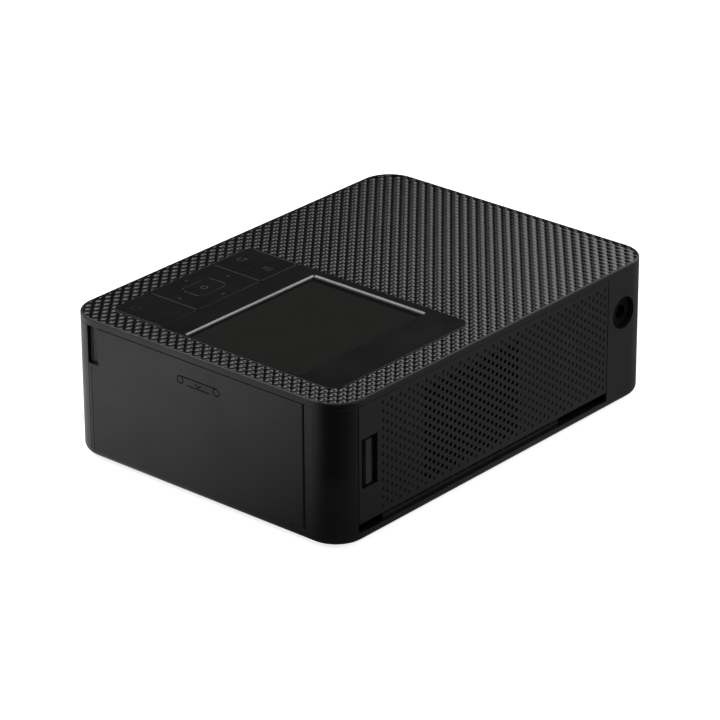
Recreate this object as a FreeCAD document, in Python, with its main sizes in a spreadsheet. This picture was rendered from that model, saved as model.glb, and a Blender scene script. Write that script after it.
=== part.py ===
import FreeCAD, Part
import math
import os
import re
import Sketcher
from FreeCAD import Placement, Rotation, Vector

# Frame: origin under the middle of the printer on the table, +X to its right
# seen from the front, +Y to its back, +Z up. All sizes are in millimetres.

SIZES = [
    # casing
    ("body_width", "182.2"),
    ("body_depth", "133.0"),
    ("body_height", "57.6"),
    ("seam_drop", "2.8"),
    ("corner_radius", "12.8"),
    ("wall", "2.2"),
    ("floor_thickness", "2.2"),
    ("bottom_rounding", "3.0"),
    ("seam_gap", "0.25"),
    ("moving_clearance", "0.3"),
    ("shaft_clearance", "0.05"),
    ("overrun", "1.0"),
    ("pin_end_gap", "0.2"),
    # rubber feet and case screws
    ("foot_height", "1.3"),
    ("foot_radius", "5.5"),
    ("foot_inset", "19.0"),
    ("post_radius", "3.2"),
    ("post_inset", "9.1"),
    ("front_post_setback", "17.5"),
    ("rear_post_setback", "19.5"),
    ("post_drop", "9.8"),
    ("screw_radius", "1.25"),
    ("screw_head_radius", "2.4"),
    ("screw_head_depth", "1.2"),
    ("screw_seat", "4.0"),
    ("screw_length", "10.0"),
    # top cover
    ("rim_width", "0.8"),
    ("rim_rounding", "0.6"),
    ("texture_depth", "0.55"),
    ("cover_thickness", "2.4"),
    # control panel and display
    ("panel_width", "76.65"),
    ("panel_right_margin", "11.35"),
    ("panel_front_margin", "11.3"),
    ("panel_back_margin", "12.0"),
    ("panel_corner", "5.0"),
    ("panel_thickness", "1.4"),
    ("panel_drop", "0.2"),
    ("panel_fit", "0.1"),
    ("window_left_border", "4.0"),
    ("window_right_border", "1.5"),
    ("window_front_border", "36.45"),
    ("window_back_border", "18.2"),
    ("window_corner", "1.5"),
    ("window_depth", "0.7"),
    ("window_ledge", "2.5"),
    ("module_thickness", "3.4"),
    # keys
    ("key_front_border", "0.7"),
    ("keys_depth", "25.0"),
    ("key_side_border", "0.8"),
    ("left_key_width", "21.0"),
    ("right_key_width", "19.45"),
    ("key_gap", "0.3"),
    ("key_rounding", "0.25"),
    ("key_stem_radius", "1.6"),
    ("stem_gap", "0.6"),
    ("ok_offset", "31.35"),
    ("ok_width", "14.75"),
    ("ok_setback", "7.5"),
    ("ok_depth", "10.0"),
    ("ok_corner", "2.2"),
    ("key_corner", "1.0"),
    ("ridge_height", "0.18"),
    ("ridge_width", "0.7"),
    ("ridge_inset", "3.6"),
    ("ridge_length", "14.4"),
    ("rocker_stem_offset", "6.5"),
    ("dpad_stem_offset_across", "13.0"),
    ("dpad_stem_offset_along", "9.0"),
    ("pivot_ring_width", "1.5"),
    ("pivot_ring_height", "1.0"),
    ("dome_radius", "2.6"),
    ("dome_height", "0.9"),
    ("board_thickness", "1.2"),
    ("button_board_drop", "5.3"),
    ("board_post_radius", "2.0"),
    # rear panel with its field of holes
    ("grille_left_margin", "27.6"),
    ("grille_right_margin", "10.7"),
    ("grille_bottom", "8.7"),
    ("grille_top_gap", "0.2"),
    ("grille_thickness", "1.8"),
    ("grille_setback", "0.1"),
    ("hole_radius", "0.84"),
    ("hole_end_margin", "2.31"),
    ("hole_foot_margin", "2.6"),
    ("hole_side_margin", "2.8"),
    ("hole_top_margin", "2.5"),
    ("dimple_depth", "0.3"),
    ("slot_bottom", "5.0"),
    # rear battery catch
    ("catch_inset", "10.0"),
    ("catch_width", "8.5"),
    ("catch_bottom", "22.0"),
    ("catch_top", "41.6"),
    ("catch_depth", "5.5"),
    ("catch_wall", "0.8"),
    ("catch_bar_inset", "2.9"),
    ("catch_bar_width", "3.1"),
    ("catch_bar_end_gap", "1.2"),
    ("catch_bar_setback", "0.3"),
    # power inlet
    ("jack_margin", "17.9"),
    ("jack_height", "38.7"),
    ("jack_radius", "6.3"),
    ("jack_fit", "0.2"),
    ("jack_bore_radius", "2.8"),
    ("jack_bore_depth", "9.5"),
    ("jack_length", "12.0"),
    ("jack_setback", "1.6"),
    ("jack_pin_radius", "0.8"),
    ("jack_pin_setback", "1.2"),
    # ink door on the right side
    ("door_front_margin", "12.4"),
    ("door_back_margin", "16.4"),
    ("door_lip", "5.2"),
    ("door_hinge_drop", "6.0"),
    ("door_hinge_run", "6.2"),
    ("door_pin_radius", "0.6"),
    ("door_pin_length", "2.4"),
    ("notch_bottom", "39.7"),
    ("notch_length", "3.6"),
    ("notch_depth", "1.4"),
    # front bezel and cassette cover
    ("bezel_depth", "10.6"),
    ("bezel_bottom", "4.3"),
    ("cover_offset", "0.2"),
    ("cover_narrowing", "5.6"),
    ("cover_bottom", "6.0"),
    ("cover_top", "48.0"),
    ("cover_pin_radius", "0.7"),
    ("cover_pin_length", "4.0"),
    ("grip_width", "22.0"),
    ("grip_height", "3.0"),
    ("grip_depth", "1.0"),
    # mechanism frames
    ("frame_left_margin", "47.1"),
    ("frame_right_margin", "19.1"),
    ("frame_sheet", "1.2"),
    ("frame_front_margin", "17.3"),
    ("frame_back_margin", "9.0"),
    ("frame_drop", "4.4"),
    ("cross_plate_bottom", "17.5"),
    ("cross_plate_top", "46.0"),
    ("rear_plate_margin", "17.3"),
    ("rear_plate_bottom", "12.5"),
    # rollers
    ("roller_neck_radius", "2.5"),
    ("roller_left_gap", "6.2"),
    ("roller_right_gap", "5.8"),
    ("bush_radius", "4.0"),
    ("bush_length", "2.6"),
    ("platen_setback", "55.0"),
    ("platen_height", "18.0"),
    ("platen_radius", "6.5"),
    ("platen_core_radius", "4.0"),
    ("feed_offset", "17.5"),
    ("feed_height", "16.5"),
    ("feed_radius", "4.5"),
    ("pinch_radius", "3.0"),
    ("pinch_neck_radius", "1.5"),
    ("pickup_offset", "18.5"),
    ("pickup_height", "20.5"),
    ("tyre_radius", "6.0"),
    ("tyre_width", "8.0"),
    ("tyre_offset", "22.0"),
    # gear train outside the left frame
    ("gear_module", "0.8"),
    ("gear_width", "3.6"),
    ("gear_space", "1.2"),
    ("gear_backlash", "0.16"),
    ("small_teeth", "15"),
    ("roller_teeth", "18"),
    ("large_teeth", "30"),
    ("pinion_teeth", "12"),
    ("stud_radius", "1.5"),
    ("stud_head_radius", "2.6"),
    ("stud_head_width", "0.8"),
    # feed motor
    ("motor_offset", "28.0"),
    ("motor_height", "36.0"),
    ("motor_radius", "11.0"),
    ("motor_length", "22.0"),
    ("motor_shaft_radius", "1.0"),
    ("motor_boss_radius", "3.5"),
    # print head carriage
    ("head_left_gap", "7.5"),
    ("head_right_gap", "7.1"),
    ("head_width", "16.0"),
    ("head_bottom", "33.3"),
    ("head_plate_height", "3.0"),
    ("sink_height", "6.5"),
    ("sink_groove", "1.2"),
    ("carriage_height", "6.5"),
    ("carriage_sheet", "1.2"),
    ("head_travel", "7.8"),
    ("glaze_width", "3.0"),
    ("glaze_height", "0.5"),
    ("guide_pin_radius", "1.5"),
    ("guide_pin_spread", "2.8"),
    ("guide_pin_inset", "0.6"),
    # ink cassette
    ("spool_offset", "21.5"),
    ("spool_height", "38.6"),
    ("tub_radius", "10.2"),
    ("tub_wall", "1.2"),
    ("cassette_gap", "0.45"),
    ("tub_left_gap", "4.2"),
    ("tub_right_margin", "10.1"),
    ("grip_plate", "4.0"),
    ("bridge_height", "4.0"),
    ("bridge_width", "2.6"),
    ("spool_core_radius", "4.2"),
    ("spool_bore_radius", "2.9"),
    ("spool_bore_depth", "6.0"),
    ("spool_end_gap", "0.3"),
    ("full_roll_radius", "8.2"),
    ("worn_roll_radius", "5.6"),
    ("ribbon_left_gap", "8.2"),
    ("ribbon_right_gap", "7.8"),
    ("ribbon_sheet", "0.2"),
    ("ribbon_lift", "0.45"),
    ("ribbon_flat", "9.0"),
    ("tub_slot_width", "2.4"),
    ("hub_radius", "2.6"),
    ("hub_reach", "5.0"),
    # paper guide
    ("guide_offset", "6.5"),
    ("guide_back_margin", "2.3"),
    ("guide_front_height", "20.0"),
    ("guide_back_height", "6.0"),
    ("guide_sheet", "1.4"),
    ("guide_left_gap", "7.4"),
    ("guide_right_gap", "7.0"),
    ("guide_leg", "1.4"),
    ("rib_height", "0.6"),
    ("rib_width", "1.0"),
    ("rib_end_margin", "8.0"),
    # fan
    ("fan_offset", "3.7"),
    ("fan_height", "33.0"),
    ("fan_size", "36.0"),
    ("fan_depth", "10.0"),
    ("fan_bore_radius", "16.4"),
    ("fan_hub_radius", "7.5"),
    ("fan_blade_radius", "15.8"),
    ("fan_blade_sheet", "0.9"),
    ("fan_shaft_radius", "1.0"),
    ("fan_strut", "2.0"),
    ("fan_strut_depth", "1.6"),
    ("fan_motor_radius", "6.5"),
    # electronics
    ("main_board_margin", "4.5"),
    ("main_board_setback", "18.5"),
    ("main_board_bottom", "8.0"),
    ("main_board_top", "48.0"),
    ("standoff_radius", "2.2"),
    ("standoff_inset", "5.0"),
    ("capacitor_radius", "5.0"),
    ("capacitor_length", "11.0"),
    ("capacitor_setback", "36.5"),
    ("capacitor_pitch", "11.5"),
    ("capacitor_height", "36.0"),
    ("chip_side", "14.0"),
    ("chip_thickness", "1.4"),
    ("chip_along", "-4.0"),
    ("chip_height", "30.0"),
    ("coil_side", "9.0"),
    ("coil_thickness", "6.0"),
    ("usb_setback", "38.5"),
    ("usb_height", "14.0"),
    ("usb_width", "9.0"),
    ("usb_thickness", "3.3"),
    ("usb_wall", "0.35"),
    ("usb_tongue", "0.8"),
    ("card_margin", "12.8"),
    ("card_width", "25.8"),
    ("card_depth", "26.0"),
    ("card_height", "3.4"),
    ("card_wall", "0.5"),
    ("card_slot_width", "24.4"),
    ("card_board_top", "24.0"),
]

HOLE_ROWS = 25
HOLE_COLUMNS = 28
FIRST_OPEN_ROW = 2
LAST_OPEN_ROW = 23
FIRST_OPEN_COLUMN = 5
OPEN_COLUMNS = 12
FAN_BLADES = 7
FAN_STRUTS = 3
RIB_COUNT = 14
SINK_GROOVES = 4
CAPACITORS = 3
QUARTER_TURN = 90
FULL_TURN = 360
PRESSURE_ANGLE = 20
BLADE_PITCH = 38

# Sizes that follow from the ones above, so that the pieces keep together.
PLACES = [
    ("seam_height", "body_height - seam_drop"),
    ("post_top", "seam_height - post_drop"),
    ("cover_underside", "body_height - cover_thickness"),
    ("panel_left", "panel_right - panel_width"),
    ("panel_right", "body_width / 2 - panel_right_margin"),
    ("panel_front", "panel_front_margin - body_depth / 2"),
    ("panel_back", "body_depth / 2 - panel_back_margin"),
    ("panel_top", "body_height - panel_drop"),
    ("window_left", "panel_left + window_left_border"),
    ("window_right", "panel_right - window_right_border"),
    ("window_front", "panel_front + window_front_border"),
    ("window_back", "panel_back - window_back_border"),
    ("keys_front", "panel_front + key_front_border"),
    ("keys_back", "keys_front + keys_depth"),
    ("keys_left", "panel_left + key_side_border"),
    ("keys_right", "panel_right - key_side_border"),
    ("left_key_seam", "keys_left + left_key_width"),
    ("right_key_seam", "keys_right - right_key_width"),
    ("ok_left", "keys_left + ok_offset"),
    ("ok_right", "ok_left + ok_width"),
    ("ok_front", "keys_front + ok_setback"),
    ("ok_back", "ok_front + ok_depth"),
    ("ridge_left", "keys_left + ridge_inset"),
    ("ridge_right", "ridge_left + ridge_length"),
    ("button_board_top", "body_height - button_board_drop"),
    ("grille_left", "grille_left_margin - body_width / 2"),
    ("grille_right", "body_width / 2 - grille_right_margin"),
    ("grille_top", "seam_height - grille_top_gap"),
    ("hole_pitch", "(hole_first_column - grille_left - hole_end_margin) / %d" % (HOLE_COLUMNS - 1)),
    ("hole_row_pitch", "(hole_first_row - grille_bottom - hole_foot_margin) / %d" % (HOLE_ROWS - 1)),
    ("hole_first_column", "catch_left - hole_side_margin"),
    ("hole_first_row", "grille_top - hole_top_margin"),
    ("catch_left", "grille_right - catch_inset"),
    ("catch_right", "catch_left + catch_width"),
    ("catch_bar_left", "catch_left + catch_bar_inset"),
    ("catch_bar_right", "catch_bar_left + catch_bar_width"),
    ("jack_across", "jack_margin - body_width / 2"),
    ("door_front", "door_front_margin - body_depth / 2"),
    ("door_back", "body_depth / 2 - door_back_margin"),
    ("notch_back", "door_front + notch_length"),
    ("bezel_seam", "bezel_depth - body_depth / 2"),
    ("cover_centre", "(frame_left + frame_right) / 2 + cover_offset"),
    ("cover_width", "frame_right - frame_left - cover_narrowing"),
    ("frame_left", "frame_left_margin - body_width / 2"),
    ("frame_right", "body_width / 2 - frame_right_margin"),
    ("frame_front", "frame_front_margin - body_depth / 2"),
    ("frame_back", "body_depth / 2 - frame_back_margin"),
    ("frame_top", "seam_height - frame_drop"),
    ("rear_plate_face", "body_depth / 2 - rear_plate_margin"),
    ("roller_left", "frame_left + roller_left_gap"),
    ("roller_right", "frame_right - roller_right_gap"),
    ("platen_along", "platen_setback - body_depth / 2"),
    ("feed_along", "platen_along + feed_offset"),
    ("pickup_along", "platen_along - pickup_offset"),
    ("motor_along", "feed_along + motor_offset"),
    ("head_left", "frame_left + head_left_gap"),
    ("head_right", "frame_right - head_right_gap"),
    ("take_up_along", "platen_along - spool_offset"),
    ("supply_along", "platen_along + spool_offset"),
    ("tub_left", "frame_left + tub_left_gap"),
    ("tub_right", "body_width / 2 - tub_right_margin"),
    ("ribbon_left", "frame_left + ribbon_left_gap"),
    ("ribbon_right", "frame_right - ribbon_right_gap"),
    ("guide_front", "feed_along + guide_offset"),
    ("guide_back", "body_depth / 2 - guide_back_margin"),
    ("guide_left", "frame_left + guide_left_gap"),
    ("guide_right", "frame_right - guide_right_gap"),
    ("rib_pitch", "(guide_right - guide_left - rib_end_margin) / %d" % (RIB_COUNT - 1)),
    ("fan_centre", "(frame_left + frame_right) / 2 + fan_offset"),
    ("main_board_left", "main_board_margin - body_width / 2"),
    ("main_board_front", "main_board_setback - body_depth / 2"),
    ("main_board_back", "body_depth / 2 - main_board_setback"),
    ("capacitor_along", "body_depth / 2 - capacitor_setback"),
    ("usb_along", "usb_setback - body_depth / 2"),
    ("card_left", "card_margin - body_width / 2"),
    ("card_right", "card_left + card_width"),
]

# Gear teeth reach these shares of the module above and below the pitch circle.
TOOTH_TIP_SHARE = 0.85
TOOTH_ROOT_SHARE = 1.2

# Rounded ends take almost half the wall, so that a narrow flat stays between them.
END_ROUNDING_SHARE = 0.4997

# An edge is straight along an axis, or lies at a level, within these shares of
# its length and of the seam gap.
STRAIGHT_SHARE = 0.01
NEAR_SHARE = 0.1

NAMES = {name for name, text in SIZES + PLACES}

LEFT = "(-body_width / 2)"
RIGHT = "(body_width / 2)"
FRONT = "(-body_depth / 2)"
BACK = "(body_depth / 2)"
FLOOR = "(foot_height + floor_thickness)"
PANEL_SEAT = "(panel_top - panel_thickness)"
GRILLE_INSIDE = "(body_depth / 2 - grille_setback - grille_thickness)"
GEAR_OUTSIDE = "(frame_left - frame_sheet - gear_space - gear_width)"
SCREW_SEAT = "(post_top - screw_seat)"
SCREW_TIP = "(post_top - screw_seat + screw_length)"
FRAME_OUTSIDE_LEFT = "(frame_left - frame_sheet)"
FRAME_OUTSIDE_RIGHT = "(frame_right + frame_sheet)"

document = FreeCAD.newDocument("CompactPhotoPrinter")
sheet = document.addObject("Spreadsheet::Sheet", "Sheet")
for row, (name, text) in enumerate(SIZES + PLACES, start=1):
    sheet.set("A%d" % row, name)
    sheet.setAlias("B%d" % row, name)
for row, (name, text) in enumerate(SIZES + PLACES, start=1):
    sheet.set("B%d" % row, "=" + text)
document.recompute()

nodes = []


def formula(text):
    """Turns size names into references to the sheet's cells."""
    def cell(match):
        word = match.group(0)
        return "Sheet." + word if word in NAMES else word
    return re.sub(r"[a-z][a-z_]*", cell, str(text))


def size(name):
    return float(sheet.get(name))


def worth(text):
    """The present value of a formula."""
    return float(sheet.evalExpression(formula(text)))


def bind(thing, prop, text):
    thing.setExpression(prop, formula(text))


def keep(thing, label):
    """Marks a finished piece: its label names its file."""
    thing.Label = label
    nodes.append(thing)
    return thing


# Part primitives

def box(x, y, z, name="box"):
    solid = document.addObject("Part::Box", name)
    bind(solid, "Length", "(%s) - (%s)" % (x[1], x[0]))
    bind(solid, "Width", "(%s) - (%s)" % (y[1], y[0]))
    bind(solid, "Height", "(%s) - (%s)" % (z[1], z[0]))
    place(solid, x[0], y[0], z[0])
    return solid


def place(thing, x, y, z):
    bind(thing, "Placement.Base.x", x)
    bind(thing, "Placement.Base.y", y)
    bind(thing, "Placement.Base.z", z)


def rod_x(y, z, radius, x, name="rod"):
    solid = document.addObject("Part::Cylinder", name)
    solid.Placement = Placement(Vector(), Rotation(Vector(0, 1, 0), QUARTER_TURN))
    bind(solid, "Radius", radius)
    bind(solid, "Height", "(%s) - (%s)" % (x[1], x[0]))
    place(solid, x[0], y, z)
    return solid


def rod_y(x, z, radius, y, name="rod"):
    solid = document.addObject("Part::Cylinder", name)
    solid.Placement = Placement(Vector(), Rotation(Vector(1, 0, 0), -QUARTER_TURN))
    bind(solid, "Radius", radius)
    bind(solid, "Height", "(%s) - (%s)" % (y[1], y[0]))
    place(solid, x, y[0], z)
    return solid


def rod_z(x, y, radius, z, name="rod"):
    solid = document.addObject("Part::Cylinder", name)
    bind(solid, "Radius", radius)
    bind(solid, "Height", "(%s) - (%s)" % (z[1], z[0]))
    place(solid, x, y, z[0])
    return solid


def joined(parts, name="joined"):
    if len(parts) == 1:
        return parts[0]
    solid = document.addObject("Part::MultiFuse", name)
    solid.Shapes = parts
    return solid


def less(base, tools, name="less"):
    solid = document.addObject("Part::Cut", name)
    solid.Base = base
    solid.Tool = joined(tools)
    return solid


def group(parts, name="group"):
    """Keeps identical pieces as separate solids of one node."""
    solid = document.addObject("Part::Compound", name)
    solid.Links = parts
    return solid


# PartDesign bodies

class Piece:
    """A body made of pads and pockets whose sketches are bound to the sheet."""

    NORMALS = {"XY_Plane": 1, "XZ_Plane": -1, "YZ_Plane": 1}

    def __init__(self, name):
        self.body = document.addObject("PartDesign::Body", name)

    def plane(self, role):
        found = [item for item in self.body.Origin.OriginFeatures if item.Role == role]
        return found[0]

    def sketch(self, role, low, high):
        """A sketch on an origin plane, moved so that its normal runs low to high."""
        sketch = self.body.newObject("Sketcher::SketchObject", "Sketch")
        sketch.AttachmentSupport = [(self.plane(role), "")]
        sketch.MapMode = "FlatFace"
        start = low if self.NORMALS[role] > 0 else "-(%s)" % high
        bind(sketch, "AttachmentOffset.Base.z", start)
        return sketch

    def outline(self, sketch, points):
        """Closed polygon, each corner held by two distances from the origin."""
        values = [(worth(across), worth(up)) for across, up in points]
        corners = [Vector(across, up, 0) for across, up in values]
        first = sketch.GeometryCount
        count = len(points)
        for index in range(count):
            line = Part.LineSegment(corners[index], corners[(index + 1) % count])
            sketch.addGeometry(line, False)
        for index in range(count):
            following = first + (index + 1) % count
            joint = Sketcher.Constraint("Coincident", first + index, 2, following, 1)
            sketch.addConstraint(joint)
        for index, (across, up) in enumerate(points):
            for kind, text, start in (("DistanceX", across, 0), ("DistanceY", up, 1)):
                distance = Sketcher.Constraint(kind, -1, 1, first + index, 1, values[index][start])
                number = sketch.addConstraint(distance)
                bind(sketch, "Constraints[%d]" % number, text)

    def rounded(self, sketch, x, y, radius):
        """Rectangle with round corners: four sides, four arcs that touch them."""
        low = Vector(worth(x[0]), worth(y[0]), 0)
        high = Vector(worth(x[1]), worth(y[1]), 0)
        bend = worth(radius)
        turn = math.pi / 2
        sides = [
            (Vector(low.x + bend, low.y, 0), Vector(high.x - bend, low.y, 0)),
            (Vector(high.x, low.y + bend, 0), Vector(high.x, high.y - bend, 0)),
            (Vector(high.x - bend, high.y, 0), Vector(low.x + bend, high.y, 0)),
            (Vector(low.x, high.y - bend, 0), Vector(low.x, low.y + bend, 0)),
        ]
        centres = [
            Vector(high.x - bend, low.y + bend, 0), Vector(high.x - bend, high.y - bend, 0),
            Vector(low.x + bend, high.y - bend, 0), Vector(low.x + bend, low.y + bend, 0),
        ]
        lines = [sketch.addGeometry(Part.LineSegment(*side), False) for side in sides]
        arcs = []
        for index, centre in enumerate(centres):
            circle = Part.Circle(centre, Vector(0, 0, 1), bend)
            arc = Part.ArcOfCircle(circle, (index - 1) * turn, index * turn)
            arcs.append(sketch.addGeometry(arc, False))
        for index in range(4):
            following = lines[(index + 1) % 4]
            sketch.addConstraint(Sketcher.Constraint("Tangent", lines[index], 2, arcs[index], 1))
            sketch.addConstraint(Sketcher.Constraint("Tangent", arcs[index], 2, following, 1))
            kind = "Vertical" if index % 2 else "Horizontal"
            sketch.addConstraint(Sketcher.Constraint(kind, lines[index]))
        for arc in arcs[1:]:
            sketch.addConstraint(Sketcher.Constraint("Equal", arcs[0], arc))
        held = sketch.addConstraint(Sketcher.Constraint("Radius", arcs[0], bend))
        bind(sketch, "Constraints[%d]" % held, radius)
        places = (("DistanceY", y[0]), ("DistanceX", x[1]), ("DistanceY", y[1]), ("DistanceX", x[0]))
        for line, (kind, text) in zip(lines, places):
            distance = Sketcher.Constraint(kind, -1, 1, line, 1, worth(text))
            number = sketch.addConstraint(distance)
            bind(sketch, "Constraints[%d]" % number, text)

    def circle(self, sketch, across, up, radius):
        centre = Vector(worth(across), worth(up), 0)
        number = sketch.addGeometry(Part.Circle(centre, Vector(0, 0, 1), worth(radius)), False)
        for kind, text in (("DistanceX", across), ("DistanceY", up)):
            distance = Sketcher.Constraint(kind, -1, 1, number, 3, worth(text))
            place_at = sketch.addConstraint(distance)
            bind(sketch, "Constraints[%d]" % place_at, text)
        held = sketch.addConstraint(Sketcher.Constraint("Radius", number, worth(radius)))
        bind(sketch, "Constraints[%d]" % held, radius)

    def feature(self, kind, sketch, low, high):
        feature = self.body.newObject("PartDesign::" + kind, kind)
        feature.Profile = sketch
        bind(feature, "Length", "(%s) - (%s)" % (high, low))
        if kind == "Pocket":
            feature.Reversed = True
        sketch.Visibility = False
        return feature

    def prism(self, kind, role, points, low, high):
        sketch = self.sketch(role, low, high)
        self.outline(sketch, points)
        return self.feature(kind, sketch, low, high)

    def block(self, kind, x, y, z):
        corners = [(x[0], y[0]), (x[1], y[0]), (x[1], y[1]), (x[0], y[1])]
        return self.prism(kind, "XY_Plane", corners, z[0], z[1])

    def slab(self, kind, x, y, radius, z):
        """Block with round upright corners."""
        sketch = self.sketch("XY_Plane", z[0], z[1])
        self.rounded(sketch, x, y, radius)
        return self.feature(kind, sketch, z[0], z[1])

    def disc(self, kind, role, centres, radius, low, high):
        sketch = self.sketch(role, low, high)
        for across, up in centres:
            self.circle(sketch, across, up, radius)
        return self.feature(kind, sketch, low, high)

    def fillet(self, radius, wanted):
        """Rounds each edge that the given test picks by its middle and direction."""
        document.recompute()
        tip = self.body.Tip
        names = []
        for number, edge in enumerate(tip.Shape.Edges, start=1):
            if edge.Length > 0 and wanted(edge):
                names.append("Edge%d" % number)
        if not names:
            raise RuntimeError("No edge to round on " + self.body.Name)
        feature = self.body.newObject("PartDesign::Fillet", "Fillet")
        feature.Base = (tip, names)
        bind(feature, "Radius", radius)
        return feature


def middle(edge):
    return edge.CenterOfMass


def upright(edge):
    box_of = edge.BoundBox
    return max(box_of.XLength, box_of.YLength) < edge.Length * STRAIGHT_SHARE


def at_height(edge, level):
    bounds = edge.BoundBox
    near = size("seam_gap") * NEAR_SHARE
    return abs(bounds.ZMin - level) < near and abs(bounds.ZMax - level) < near


# Casing

def casing_posts():
    """Places of the four case screws."""
    across = "(body_width / 2 - post_inset)"
    return [
        ("-" + across, "(-body_depth / 2 + front_post_setback)"),
        (across, "(-body_depth / 2 + front_post_setback)"),
        ("-" + across, "(body_depth / 2 - rear_post_setback)"),
        (across, "(body_depth / 2 - rear_post_setback)"),
    ]


def make_base_shell():
    piece = Piece("base_shell")
    outer_x = (LEFT, RIGHT)
    outer_y = (FRONT, BACK)
    piece.slab("Pad", outer_x, outer_y, "corner_radius", ("foot_height", "seam_height"))
    bottom = size("foot_height")
    piece.fillet("bottom_rounding", lambda edge: at_height(edge, bottom))
    inner_x = (LEFT + " + wall", RIGHT + " - wall")
    inner_y = (FRONT + " + wall", BACK + " - wall")
    piece.slab("Pocket", inner_x, inner_y, "corner_radius - wall", (FLOOR, "seam_height + overrun"))
    front_cut = "bezel_seam + seam_gap"
    piece.block("Pocket", (LEFT + " - overrun", RIGHT + " + overrun"),
                (FRONT + " - overrun", front_cut), ("bezel_bottom", "seam_height + overrun"))
    lip = RIGHT + " - door_lip - seam_gap"
    door_front = "door_front - seam_gap"
    door_back = "door_back + seam_gap"
    run = "door_back - door_hinge_run + seam_gap"
    lug_top = "door_hinge_drop - moving_clearance"
    piece.block("Pocket", (lip, RIGHT + " + overrun"), (door_front, run),
                ("foot_height - overrun", "seam_height + overrun"))
    piece.block("Pocket", (lip, RIGHT + " + overrun"), (run + " - overrun", door_back),
                (lug_top, "seam_height + overrun"))
    piece.block("Pocket", (RIGHT + " - notch_depth", RIGHT + " + overrun"),
                (front_cut + " - overrun", "door_front"),
                ("notch_bottom", "seam_height + overrun"))
    piece.block("Pocket", ("grille_left - seam_gap", "grille_right + seam_gap"),
                (BACK + " - wall - overrun", BACK + " + overrun"),
                ("slot_bottom", "seam_height + overrun"))
    piece.disc("Pocket", "XZ_Plane", [("jack_across", "jack_height")],
               "jack_radius + jack_fit", BACK + " - wall - overrun", BACK + " + overrun")
    usb_half = "(usb_width / 2 + jack_fit)"
    usb_rise = "(usb_thickness / 2 + jack_fit)"
    piece.block("Pocket", (LEFT + " - overrun", LEFT + " + wall + overrun"),
                ("usb_along - " + usb_half, "usb_along + " + usb_half),
                ("usb_height - " + usb_rise, "usb_height + " + usb_rise))
    piece.disc("Pad", "XY_Plane", casing_posts(), "post_radius", "foot_height + bottom_rounding / 3",
               "post_top")
    piece.disc("Pocket", "XY_Plane", casing_posts(), "screw_radius",
               SCREW_SEAT + " - overrun", "post_top + overrun")
    piece.disc("Pocket", "XY_Plane", casing_posts(), "screw_head_radius",
               "foot_height - overrun", SCREW_SEAT)
    piece.disc("Pocket", "XY_Plane", [(door_axis_x(), door_axis_y())],
               "door_pin_radius + shaft_clearance",
               "door_hinge_drop - door_pin_length / 2 - moving_clearance", lug_top + " + overrun")
    piece.disc("Pad", "XY_Plane", card_post_places(), "standoff_radius",
               "foot_height + floor_thickness / 2", "card_board_top - board_thickness")
    for across, along in standoff_places():
        in_wall = LEFT + " + wall / 2"
        sketch = piece.sketch("YZ_Plane", in_wall, "main_board_left")
        piece.circle(sketch, across, along, "standoff_radius")
        piece.feature("Pad", sketch, in_wall, "main_board_left")
    keep(piece.body, "base_shell")


def card_post_places():
    """Posts on the floor that carry the card reader's board."""
    front = "(bezel_seam + standoff_radius * 2)"
    back = "(wall + card_depth - body_depth / 2)"
    left = "(card_left + standoff_radius)"
    right = "(card_right - standoff_radius)"
    return [(left, front), (right, front), (left, back), (right, back)]


def standoff_places():
    return [
        ("main_board_front + standoff_inset", "main_board_bottom + standoff_inset"),
        ("main_board_back - standoff_inset", "main_board_bottom + standoff_inset"),
        ("main_board_front + standoff_inset", "main_board_top - standoff_inset"),
        ("main_board_back - standoff_inset", "main_board_top - standoff_inset"),
    ]


def make_rubber_feet():
    across = "(body_width / 2 - foot_inset)"
    along = "(body_depth / 2 - foot_inset)"
    feet = []
    for side in ("-", ""):
        for end in ("-", ""):
            feet.append(rod_z(side + across, end + along, "foot_radius", ("0", "foot_height")))
    keep(group(feet), "rubber_feet")


def make_case_screws():
    screws = []
    for across, along in casing_posts():
        head = rod_z(across, along, "screw_head_radius - shaft_clearance",
                     (SCREW_SEAT + " - screw_head_depth", SCREW_SEAT))
        shank = rod_z(across, along, "screw_radius - shaft_clearance",
                      (SCREW_SEAT + " - screw_head_depth", SCREW_TIP))
        screws.append(joined([head, shank]))
    keep(group(screws), "case_screws")


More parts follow.
